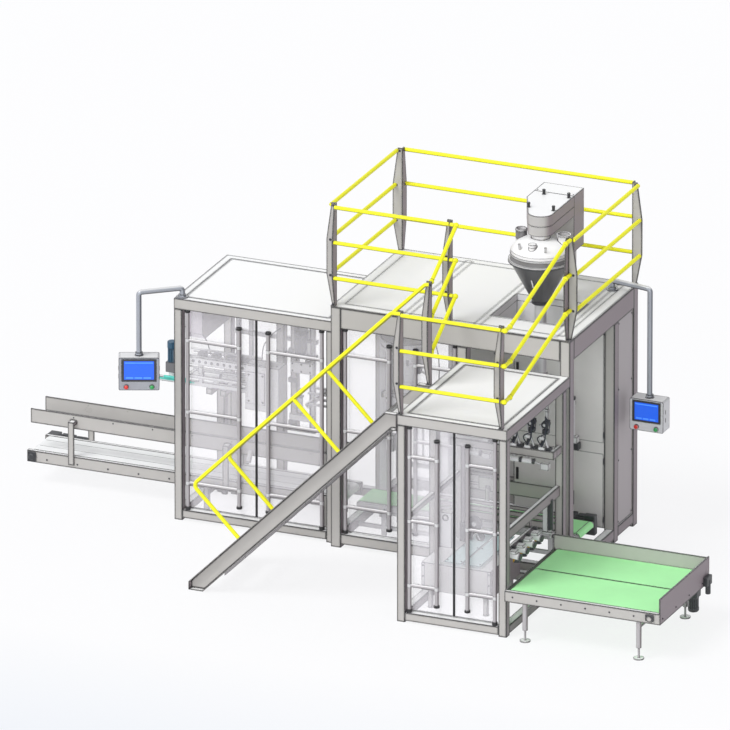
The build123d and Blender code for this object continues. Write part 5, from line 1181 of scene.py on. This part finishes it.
@dataclass
class ClosingCage:
    """Sealing line, lift and guides inside the closing cage, in millimetres."""

    hoses: tuple = (
        ((-1875, 690, 1500), (-1840, 760, 1620), (-1700, 800, 1640), (-1560, 720, 1560), (-1500, 690, 1430)),
        ((-1000, 720, 1440), (-1010, 800, 1560), (-960, 880, 1650), (-900, 930, 1700)),
        ((-740, 960, 1440), (-720, 900, 1560), (-700, 880, 1720), (-690, 930, 1870)),
    )
    lane: float = 650.0
    motor_x: float = -675.0

    def build(self) -> None:
        """Builds the sealing band, jaws, lift cylinders, hoses and brackets."""
        steel, black, white, teal, hose, motor, stub = (Shell() for _ in range(7))
        self.band(steel, black, white)
        self.drive(black, teal, stub)
        self.head(steel, black, white)
        self.lift(steel, black, white)
        self.lift_drive(steel, motor)
        self.frame(steel, white)
        for route in self.hoses:
            hose.hose(route, 0.010)
        piece(steel, "closing_steel", BRIGHT_STEEL)
        piece(black, "closing_dark", DARK_STEEL)
        piece(white, "closing_white", WHITE_PANEL)
        piece(teal, "closing_teal", TEAL)
        piece(motor, "lift_motor", MOTOR_BLACK)
        piece(stub, "sealer_motor", MOTOR_BLUE)
        piece(hose, "closing_hoses", AIR_HOSE)

    def band(self, steel: Shell, black: Shell, white: Shell) -> None:
        """Adds rollers, guide rails and the heater row along the bags' lane."""
        y = self.lane
        for x in range(-1640, -950, 62):
            black.rod(at(x, y - 54, 1385), at(x, y + 54, 1385), 0.030, 0.002, 16)
        for z, near in product((1335, 1442), (y - 62, y + 54)):
            steel.box(at(-1680, near, z - 8), at(-940, near + 8, z + 4), 0.001)
        for x in range(-1600, -1179, 140):
            black.box(at(x, y - 46, 1424), at(x + 70, y + 46, 1470), 0.004)
            steel.bolt(at(x + 35, y - 46.4, 1447), FRONT, 0.014)
        steel.rod(at(-1680, y, 1490), at(-960, y, 1490), 0.022, 0.002, 16)
        for near in (y - 90, y + 82):
            white.box(at(-1700, near, 1236), at(-980, near + 8, 1262), 0.001)
        for x in range(-1660, -1139, 260):
            steel.rod(at(x, y - 82, 1249), at(x, y + 82, 1249), 0.016, 0.001, 12)

    def drive(self, black: Shell, teal: Shell, stub: Shell) -> None:
        """Adds the sealer's upright motor with its gear block, and the teal guide strip."""
        x, y = -1875, self.lane
        stub.rod(at(x, y, 1460), at(x, y, 1530), 0.090, 0.006, 28)
        stub.finned(at(x, y, 1330), at(x, y, 1460), 0.084, 14, 0.006)
        black.box(at(-1925, y - 44, 1230), at(-1830, y + 44, 1330), 0.006)
        teal.box(at(-2000, y - 28, 1148), at(-1640, y - 20.5, 1164), 0.001)
        teal.rod(at(-1940, y - 44, 1186), at(-1700, y - 44, 1186), 0.026, 0.003, 16)

    @staticmethod
    def head(steel: Shell, black: Shell, white: Shell) -> None:
        """Adds the cover plate of the jaw head and its two cylinders."""
        white.box(at(-1080, 552, 1060), at(-900, 560, 1380), 0.003)
        steel.bolts(product((-1060, -920), (552,), (1090, 1350)), FRONT, 0.014)
        cylinder_set(steel, black, at(-800, 610, 1180), at(-800, 610, 1400), 0.044, 0.05)
        cylinder_set(steel, black, at(-1520, 560, 1290), at(-1340, 560, 1290), 0.032, 0.06)

    @staticmethod
    def lift(steel: Shell, black: Shell, white: Shell) -> None:
        """Adds carriage plates, bearing blocks and cylinders to the lift."""
        white.box(at(-790, 905, 1290), at(-560, 934, 1400), 0.004)
        white.box(at(-800, 900, 820), at(-560, 934, 880), 0.004)
        for z in (760, 1180, 1470, 1830):
            black.box(at(-822, 925, z), at(-742, 1005, z + 46), 0.004)
        steel.bolts(product((-770, -680, -590), (905,), (1310, 1380)), FRONT, 0.014)
        cylinder_set(steel, black, at(-600, 900, 1420), at(-600, 900, 1640), 0.050, 0.09)
        cylinder_set(steel, black, at(-680, 890, 900), at(-680, 890, 1080), 0.044, 0.07)

    def lift_drive(self, steel: Shell, motor: Shell) -> None:
        """Adds the lift's finned motor with its block, its shelf and its terminal box."""
        x, y = self.motor_x, 900
        steel.box(at(x + 5, 920, 1882), at(x + 115, 1030, 1900), 0.003)
        motor.finned(at(x, y, 1540), at(x, y, 1690), 0.136, 20, 0.009)
        motor.rod(at(x, y, 1690), at(x, y, 1736), 0.138, 0.010, 30)
        motor.box(at(x - 50, y - 50, 1500), at(x + 50, y + 50, 1540), 0.006)
        motor.box(at(x - 25, y - 88, 1580), at(x + 25, y - 62, 1660), 0.004)
        steel.box(at(x - 85, y - 55, 1484), at(x + 85, y + 60, 1500), 0.002)

    @staticmethod
    def frame(steel: Shell, white: Shell) -> None:
        """Adds the uprights behind the lift and the guide strips to the main frame."""
        for x in (-1380, -1250):
            steel.box(at(x, 1000, 1100), at(x + 42, 1042, 2086), 0.004)
        steel.box(at(-1400, 1000, 1560), at(-560, 1040, 1600), 0.004)
        steel.box(at(-600, 940, 700), at(-560, 980, 2086), 0.004)
        steel.rod(at(-480, 560, 1130), at(-480, 900, 1130), 0.03, 0.002, 16)
        steel.rod(at(-1000, 400, 540), at(-1000, 470, 640), 0.05, 0.002, 20)
        for z, y in product((1130, 1240), (560, 700)):
            white.box(at(-470, y, z), at(-150, y + 40, z + 14), 0.003)
        steel.box(at(-480, 560, 1100), at(-450, 1250, 1130), 0.003)


@dataclass
class FillingBay:
    """Weigh funnel fittings and bag clamp in the first bay, in millimetres."""

    x: float = 480.0
    y: float = 700.0
    cell_circle: float = 262.0

    def build(self) -> None:
        """Builds the funnel's fittings, the clamp, the bag guide and the hoses."""
        steel, black, white, hose = (Shell() for _ in range(4))
        self.funnel(steel, black, white)
        self.clamp(steel, black, white)
        self.guide(steel, black, white)
        for route in (((300, 830, 1760), (320, 780, 1900), (360, 760, 2050), (380, 770, 2290)),
                      ((730, 680, 1330), (780, 720, 1500), (750, 790, 1700), (710, 800, 1850))):
            hose.hose(route, 0.012)
        piece(steel, "filling_steel", BRIGHT_STEEL)
        piece(black, "filling_dark", DARK_STEEL)
        piece(white, "filling_white", WHITE_PANEL)
        piece(hose, "filling_hoses", AIR_HOSE)

    def funnel(self, steel: Shell, black: Shell, white: Shell) -> None:
        """Adds three load cells on their hangers, three bands and the vibrator's box."""
        for turn in (0.5, 2.6, 4.7):
            x, y = self.x + self.cell_circle * math.cos(turn), self.y + self.cell_circle * math.sin(turn)
            white.box(at(x - 32, y - 32, 1850), at(x + 32, y + 32, 1890), 0.005, turn)
            steel.rod(at(x, y, 1890), at(x, y, 2300), 0.022, 0.002, 16)
            black.rod(at(x, y, 1900), at(x, y, 1945), 0.056, 0.004, 24)
        for radius, z in ((0.256, 1836), (0.256, 1902), (0.064, 1430)):
            steel.ring(at(self.x, self.y, z), radius - 0.008, radius, 0.012, 0.002, 56)
        cylinder_set(steel, black, at(self.x + 60, self.y - 160, 1720), at(self.x + 190, self.y - 140, 1640),
                     0.052, 0.05)
        black.box(at(self.x - 250, self.y + 60, 1990), at(self.x - 120, self.y + 200, 2200), 0.008)

    def clamp(self, steel: Shell, black: Shell, white: Shell) -> None:
        """Adds the bag clamp's cylinders, jaws and hangers on both sides of the spout."""
        for side in (-1, 1):
            cylinder_set(steel, black, at(self.x + side * 250, self.y - 20, 1310),
                         at(self.x + side * 140, self.y - 20, 1310), 0.050, 0.02)
            jaw, hanger = self.x + side * 60, self.x + side * 116
            white.box(at(jaw - 60, self.y - 112, 1205), at(jaw + 60, self.y - 100, 1330), 0.003)
            steel.rod(at(hanger, self.y + 90, 1190), at(hanger, self.y + 90, 700), 0.022, 0.002, 16)

    @staticmethod
    def guide(steel: Shell, black: Shell, white: Shell) -> None:
        """Adds covers to the column, the bag guide and its motor at the belt."""
        white.box(at(210, 800, 1180), at(330, 868, 1760), 0.006)
        white.box(at(210, 790, 700), at(300, 868, 860), 0.006)
        steel.bolts(product((230, 310), (800,), (1220, 1700)), FRONT, 0.016)
        steel.box(at(330, 840, 560), at(690, 868, 600), 0.003)
        black.finned(at(560, 905, 360), at(700, 905, 360), 0.080, 14, 0.006)
        black.box(at(500, 862, 322), at(562, 948, 400), 0.006)


@dataclass
class BagCage:
    """Table, pick-up heads and swing arms inside the bag cage, in millimetres."""

    table_low: tuple = (1380, -1120, 185)
    table_high: tuple = (2070, -410, 455)
    rail_near: float = -350.0
    rail_top: float = 1410.0
    head_count: int = 4
    head_start: float = -1330.0
    head_pitch: float = 172.0
    arm_count: int = 5
    arm_start: float = 1690.0
    arm_pitch: float = 140.0

    def build(self) -> None:
        """Builds the gantry rail with its arms, the pick-up heads and the table."""
        steel, black, white, hose, amber = (Shell() for _ in range(5))
        self.rail()
        self.table()
        for index in range(self.head_count):
            self.head(self.head_start + index * self.head_pitch, steel, black, white, amber)
        for index in range(self.arm_count):
            self.arm(self.arm_start + index * self.arm_pitch, steel, black, white, hose)
        self.rail_cylinders(steel, black, white)
        self.lifter(steel, black)
        self.feeder(steel, black, white)
        piece(steel, "bag_steel", BRIGHT_STEEL)
        piece(black, "bag_dark", MOTOR_BLACK)
        piece(white, "bag_white", WHITE_PANEL)
        piece(hose, "bag_hoses", AIR_HOSE)
        piece(amber, "bag_bellows", BELLOWS_AMBER)

    def rail(self) -> None:
        """Builds the cross rail on its two brackets, and the bar of the pick-up heads on its straps."""
        x0, x1 = ((corner[0] - ORIGIN[0]) * 1000 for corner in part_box("bag_gantry"))
        near, top = self.rail_near, self.rail_top
        shell = Shell()
        shell.box(at(x0, near, top - 80), at(x1, near + 80, top), 0.004)
        for x in (x0, x1 - 40):
            shell.box(at(x, near + 78, top - 78), at(x + 40, near + 190, top - 2), 0.002)
        shell.box(at(2312, -1395, 786), at(2346, -730, 816), 0.003)
        for y in (-1340, -800):
            shell.box(at(2318, y, 812), at(2326, y + 44, 930), 0.001)
        piece(shell, "gantry_rail", PLATE_PAINT, replaces=("bag_gantry",))

    def table(self) -> None:
        """Builds the table box on four feet, with corner strips and seams on its top."""
        shell, trim = Shell(), Shell()
        x0, y0, z0 = self.table_low
        shell.box(at(*self.table_low), at(*self.table_high), 0.003)
        for x, y in product((1430, 1980), (-1080, -490)):
            shell.box(at(x, y, 6), at(x + 40, y + 40, z0 + 2), 0.003)
            trim.rod(at(x + 20, y + 20, 0), at(x + 20, y + 20, 8), 0.064, 0.002, 20)
        for x in (x0, 2035):
            trim.box(at(x + 1, y0 - 1.5, 187), at(x + 34, y0 + 1, 453), 0.0008)
            trim.bolts(product((x + 17,), (y0 - 1.5,), (225, 320, 425)), FRONT, 0.010)
        for x in (1384, 1563, 1955):
            trim.box(at(x, -1116, 454), at(x + 3, -414, 456.2), 0.0005)
        piece(shell, "table_box", TABLE_PAINT, replaces=("bag_table",))
        piece(trim, "table_trim", BRIGHT_STEEL)

    @staticmethod
    def head(y: float, steel: Shell, black: Shell, white: Shell, amber: Shell) -> None:
        """Adds one pick-up head that reaches over the bag lane, with its cup and its bellows."""
        cup, bellows = 2418, 2376
        black.box(at(2290, y - 34, 722), at(2336, y + 34, 788), 0.004)
        white.rod(at(2334, y, 752), at(2446, y, 738), 0.062, 0.005, 24)
        white.box(at(2350, y - 40, 770), at(2424, y + 40, 798), 0.008)
        black.rod(at(2446, y, 738), at(2462, y, 736), 0.066, 0.004, 24)
        black.lathe([(0, 0), (0.014, 0), (0.020, -0.014), (0.030, -0.026), (0.026, -0.026), (0, -0.012)],
                    at(cup, y, 712), UP, 24)
        steel.rod(at(cup, y, 700), at(cup, y, 772), 0.016, 0.001, 14)
        amber.rod(at(bellows, y + 40, 664), at(bellows, y + 40, 700), 0.030, 0.003, 14)
        steel.rod(at(bellows, y + 40, 698), at(bellows, y + 40, 772), 0.010, 0.001, 10)
        black.box(at(2352, y + 26, 798), at(2392, y + 54, 826), 0.004)

    @staticmethod
    def lifter(steel: Shell, black: Shell) -> None:
        """Adds the upright cylinder beside the pick-up heads, with its plate and its foot."""
        black.rod(at(2350, -360, 650), at(2350, -360, 946), 0.052, 0.004, 24)
        steel.rod(at(2350, -360, 560), at(2350, -360, 652), 0.020, 0.001, 14)
        steel.box(at(2272, -366, 620), at(2322, -352, 946), 0.002)
        steel.box(at(2268, -372, 600), at(2372, -330, 622), 0.002)

    @staticmethod
    def arm(x: float, steel: Shell, black: Shell, white: Shell, hose: Shell) -> None:
        """Adds one pair of crossed arms on the rail, with its clamps, its wheel and two hoses."""
        white.box(at(x - 34, -348, 1409), at(x + 34, -286, 1444), 0.005)
        black.box(at(x + 38, -346, 1409), at(x + 92, -290, 1436), 0.004)
        black.rod(at(x - 12, -318, 1440), at(x + 58, -300, 1700), 0.030, 0.002, 14)
        steel.rod(at(x + 60, -326, 1432), at(x - 26, -312, 1650), 0.022, 0.002, 14)
        white.box(at(x - 26, -350, 1506), at(x + 34, -326, 1548), 0.006)
        black.box(at(x + 6, -346, 1572), at(x + 64, -290, 1612), 0.004)
        black.rod(at(x + 30, -346, 1660), at(x + 30, -270, 1660), 0.070, 0.004, 24)
        steel.rod(at(x + 30, -350, 1660), at(x + 30, -266, 1660), 0.034, 0.002, 16)
        steel.box(at(x + 18, -300, 1680), at(x + 48, -276, 1880), 0.003)
        for lean, diameter in ((-30, 0.010), (44, 0.014)):
            hose.hose(((x + 4, -348, 1446), (x + lean, -366, 1530), (x + 50, -372, 1590),
                       (x + 70 - lean / 2, -352, 1660), (x + 34, -330, 1742)), diameter)

    @staticmethod
    def rail_cylinders(steel: Shell, black: Shell, white: Shell) -> None:
        """Adds the shaft over the arms, and three cylinders with their brackets under the rail."""
        y = -382
        steel.rod(at(1430, -288, 1790), at(2300, -288, 1790), 0.034, 0.002, 18)
        for start in (1546, 1946, 2074):
            white.rod(at(start, y, 1306), at(start + 106, y, 1306), 0.050, 0.004, 24)
            black.box(at(start + 106, y - 22, 1284), at(start + 126, y + 22, 1328), 0.003)
            steel.box(at(start + 20, -362, 1292), at(start + 60, -348, 1340), 0.002)
        steel.rod(at(2198, y, 1300), at(2272, y, 1284), 0.020, 0.002, 14)
        steel.box(at(2264, -404, 1240), at(2344, -350, 1304), 0.004)
        steel.box(at(1676, -398, 1262), at(1756, -350, 1318), 0.004)

    @staticmethod
    def feeder(steel: Shell, black: Shell, white: Shell) -> None:
        """Adds the pale box, the dark drive with its chain wheel, and the screws of the long plates."""
        white.box(at(1385, -700, 455), at(1505, -600, 800), 0.006)
        black.ring(at(1446, -700, 752), 0.026, 0.032, 0.010, sides=32, axis=FRONT)
        steel.rod(at(1446, -704, 752), at(1446, -708, 752), 0.046, 0.002, 24)
        black.finned(at(1560, -470, 560), at(1560, -300, 560), 0.150, 20, 0.009)
        black.rod(at(1560, -300, 560), at(1560, -262, 560), 0.152, 0.008, 30)
        black.box(at(1500, -500, 456), at(1622, -462, 640), 0.006)
        black.rod(at(1640, -486, 640), at(1640, -470, 640), 0.150, 0.003, 30)
        steel.rod(at(1640, -492, 640), at(1640, -464, 640), 0.050, 0.002, 20)
        black.rod(at(1700, -486, 520), at(1700, -470, 520), 0.090, 0.003, 24)
        steel.rod(at(1640, -478, 600), at(1700, -478, 490), 0.020, 0.002, 12)
        for plate in (1600, 1785):
            steel.bolts(product((plate + 12, plate + 146), (-1040, -660, -290), (481,)), UP, 0.012)


@dataclass
class BackWall:
    """Sheet wall at the back of the main frame, lane guides and a valve post, in millimetres."""

    left: float = 562.0
    right: float = 1408.0
    lane_left: float = 900.0
    lane_right: float = 2080.0

    def build(self) -> None:
        """Builds the wall with its rails, the guides beside the belt and the post at the cabinet."""
        sheet, bars, steel, black, white = (Shell() for _ in range(5))
        self.wall(sheet, bars, steel, black)
        self.guides(bars, steel)
        self.valves(steel, black, white)
        piece(sheet, "back_sheet", CABINET_PAINT)
        piece(bars, "back_bars", PLATE_PAINT)
        piece(steel, "back_bolts", BRIGHT_STEEL)
        piece(black, "back_dark", MOTOR_BLACK)
        piece(white, "back_white", WHITE_PANEL)

    def wall(self, sheet: Shell, bars: Shell, steel: Shell, black: Shell) -> None:
        """Adds the sheet, its upright, two rails, two dark lines and its screws."""
        sheet.box(at(self.left - 2, 1588, 112), at(self.right, 1592, 2090), 0.001)
        bars.box(at(self.left - 42, 1572, 100), at(self.left, 1612, 2178), 0.003)
        bars.box(at(self.left, 1576, 262), at(self.right, 1589, 306), 0.003)
        bars.box(at(self.left, 1580, 1120), at(self.right, 1589, 1150), 0.002)
        for z in (190, 166):
            black.box(at(self.left, 1585, z), at(self.right, 1588.5, z + 5), 0.0005)
        steel.bolts(product((590, 980, 1380), (1588,), (180, 700, 1060, 1500, 2020)), FRONT, 0.012)

    def guides(self, bars: Shell, steel: Shell) -> None:
        """Adds three boards before the belt and one behind it, on their posts."""
        for near, far, low, high, radius in ((405, 440, 470, 508, 0.003), (414, 434, 398, 448, 0.002),
                                             (418, 428, 318, 390, 0.001)):
            bars.box(at(self.lane_left, near, low), at(self.lane_right, far, high), radius)
        for x in (960, 1500, 2010):
            bars.box(at(x, 434, 236), at(x + 36, 449.5, 470), 0.002)
            steel.bolt(at(x + 18, 434, 425), FRONT, 0.012)
        bars.box(at(1120, 862, 420), at(self.lane_right, 872, 558), 0.002)
        for x in (1200, 1950):
            bars.box(at(x, 832, 236), at(x + 36, 862, 470), 0.002)

    @staticmethod
    def valves(steel: Shell, black: Shell, white: Shell) -> None:
        """Adds the chain cover, the valve post with its block, and the seam across the belt."""
        x, y = 2000, 1030
        black.box(at(2186, 832, 150), at(2300, 900, 345), 0.010)
        white.rod(at(x, y, 1030), at(x, y, 1392), 0.038, 0.003, 20)
        black.rod(at(x, y, 1388), at(x, y, 1420), 0.046, 0.004, 20)
        black.box(at(x - 64, y - 30, 900), at(x + 64, y + 36, 968), 0.006)
        white.box(at(x - 52, y - 34, 966), at(x + 52, y + 30, 1032), 0.008)
        steel.box(at(x - 14, y + 14, 1330), at(x + 14, y + 38, 1360), 0.002)
        black.box(at(2252, 478, 299.5), at(2258, 802, 301.4), 0.0004)


@dataclass
class Cabinet:
    """Door furniture of the control cabinet, in millimetres."""

    door: float = 1066.0

    def build(self) -> None:
        """Adds swing handles, hinges and screws."""
        black, steel = Shell(), Shell()
        for z in (560, 1600):
            black.box(at(1410, self.door, z - 60), at(1436, self.door + 14, z + 60), 0.006)
            black.box(at(1416, self.door - 10, z - 44), at(1430, self.door + 2, z + 30), 0.005)
        for z in (220, 800, 1060, 2080):
            steel.rod(at(2286, self.door + 10, z - 28), at(2286, self.door + 10, z + 28), 0.014, 0.001, 14)
        steel.bolts(product((2378,), (1210, 1522), (170, 780, 1480, 2130)), ALONG, 0.012)
        black.box(at(2376.5, 1500, 1160), at(2390, 1524, 1280), 0.004)
        piece(black, "cabinet_handles", BLACK_PLASTIC)
        piece(steel, "cabinet_hinges", BOLT_STEEL)


@dataclass(frozen=True)
class Lamp:
    """A broad sun.

    Attributes:
        name: Its name.
        toward: Direction from the object to the lamp.
        strength: Strength in watts per square metre.
        angle: Width of the sun in degrees.
    """

    name: str
    toward: tuple[float, float, float]
    strength: float
    angle: float

    def build(self) -> None:
        """Adds the lamp to the scene."""
        data = bpy.data.lights.new(self.name, "SUN")
        data.energy, data.angle = self.strength, math.radians(self.angle)
        thing = bpy.data.objects.new(self.name, data)
        thing.rotation_mode = "QUATERNION"
        thing.rotation_quaternion = (-Vector(self.toward)).to_track_quat("-Z", "Y")
        bpy.context.scene.collection.objects.link(thing)


@dataclass
class Studio:
    """Pale floor, soft lights and the camera at the picture's angle.

    Attributes:
        azimuth: Camera's turn about the vertical in degrees.
        elevation: Camera's height angle in degrees.
        span: Width of the view at the object in metres.
        lens: Focal length in millimetres.
        sensor: Sensor width in millimetres.
        aim: Point in the middle of the view, in the datum's millimetres.
        lamps: Key light from the front left, low front light and weak fill from the right.
        surroundings: Strength of the world's light.
        haze: Places along the depth, in metres, where the floor's tone begins and ends to change.
        reach: How far the floor goes to each side, in metres.
        glow: Strength of the floor's own light.
        dim: How much of the floor's colour doesn't answer to the lamps.
    """

    azimuth: float = 22.9
    elevation: float = 20.8
    span: float = 6.759
    lens: float = 1200.0
    sensor: float = 36.0
    aim: tuple[float, float, float] = (70.0, 650.0, 1578.0)
    lamps: tuple[Lamp, ...] = (Lamp("key", (-0.33, -0.46, 0.82), 1.5, 25),
                               Lamp("front", (0.12, -0.97, 0.22), 0.95, 40),
                               Lamp("fill", (0.85, -0.30, 0.42), 0.10, 60))
    surroundings: float = 0.58
    haze: tuple[float, float] = (-8.0, -3.0)
    reach: float = 30.0
    glow: float = 0.84
    dim: float = 0.85

    def camera(self) -> None:
        """Places a long-lens camera that sees the span across its frame."""
        data = bpy.data.cameras.new("camera")
        data.lens, data.sensor_width = self.lens, self.sensor
        distance = self.span * self.lens / self.sensor
        a, e = math.radians(self.azimuth), math.radians(self.elevation)
        back = Vector((math.sin(a) * math.cos(e), -math.cos(a) * math.cos(e), math.sin(e)))
        data.clip_start, data.clip_end = 1.0, distance * 4
        thing = bpy.data.objects.new("camera", data)
        thing.location = Vector(at(*self.aim)) + back * distance
        thing.rotation_mode = "QUATERNION"
        thing.rotation_quaternion = (-back).to_track_quat("-Z", "Y")
        bpy.context.scene.collection.objects.link(thing)
        bpy.context.scene.camera = thing

    @staticmethod
    def seen(tree: bpy.types.NodeTree) -> bpy.types.NodeSocket:
        """Gives a socket that is one for camera, glossy and transmission rays."""
        path = add(tree, "LightPath")
        mirrored = math_node(tree, "MAXIMUM", path["Is Camera Ray"], path["Is Glossy Ray"])
        return math_node(tree, "MAXIMUM", mirrored, path["Is Transmission Ray"])

    def world(self) -> None:
        """Makes soft white surroundings, brighter where the camera sees them."""
        world = bpy.data.worlds.new("studio")
        bpy.context.scene.world = world
        world.use_nodes = True
        tree = world.node_tree
        tree.nodes.clear()
        light = add(tree, "Background", {"Color": (0.97, 0.98, 1.0, 1), "Strength": self.surroundings})
        shown = add(tree, "Background", {"Color": (0.95, 0.96, 0.98, 1)})
        mix = add(tree, "MixShader", {"Fac": self.seen(tree), 1: light["Background"],
                                      2: shown["Background"]})
        add(tree, "OutputWorld", {"Surface": mix["Shader"]})

    def floor(self) -> None:
        """Lays a wide floor whose tone runs from pale blue in front to white behind."""
        shell = Shell()
        u = np.linspace(-self.reach, self.reach, 13)
        x, y = np.meshgrid(u, u, indexing="ij")
        shell.grid(np.stack([x, y, np.full_like(x, -FLOOR_DROP)], axis=-1))
        thing = shell.mesh("floor")
        material = bpy.data.materials.new("floor_paper")
        material.use_nodes = True
        tree = material.node_tree
        tree.nodes.clear()
        depth = add(tree, "SeparateXYZ", {"Vector": add(tree, "TexCoord")["Object"]})["Y"]
        color = over(tree, (0.80, 0.85, 0.93, 1), (0.99, 0.99, 1.0), stretched(tree, depth, *self.haze))
        dim = add(tree, "Mix", {"Factor": self.dim, "A": color, "B": (0, 0, 0, 1)}, data_type="RGBA")
        glow = add(tree, "Emission", {"Color": color, "Strength": self.glow})
        paper = add(tree, "BsdfDiffuse", {"Color": dim["Result"]})
        plain = add(tree, "BsdfDiffuse", {"Color": (0.88, 0.88, 0.89, 1)})
        both = add(tree, "AddShader", {0: glow["Emission"], 1: paper["BSDF"]})
        mix = add(tree, "MixShader", {"Fac": self.seen(tree), 1: plain["BSDF"], 2: both["Shader"]})
        add(tree, "OutputMaterial", {"Surface": mix["Shader"]})
        thing.data.materials.append(material)

    def build(self) -> None:
        """Sets camera, world, lamps and floor."""
        self.camera()
        self.world()
        for lamp in self.lamps:
            lamp.build()
        self.floor()
        bpy.context.scene.view_settings.view_transform = "Standard"


def main() -> None:
    """Builds the studio, dresses the frame and adds each sub-assembly's fittings."""
    logging.basicConfig(level=logging.INFO, format="%(name)s %(message)s")
    Studio().build()
    FrameFinishes().dress(frame["nodes"])
    parts = (TopSeams(), GuardFasteners(), Stair(), Doors(), Hopper(), Motors(), Conveyors(),
             ClosingCage(), FillingBay(), BagCage(), BackWall(), Cabinet(),
             ScreenPanel("screen_right", (2230, 1410), -11.0, 1410, 336, 310, 0.0),
             ScreenPanel("screen_left", (-1550, 140), 219.0, 1670, 378, 320, 22.9))
    for part in parts:
        part.build()


if __name__ == "__main__":
    main()
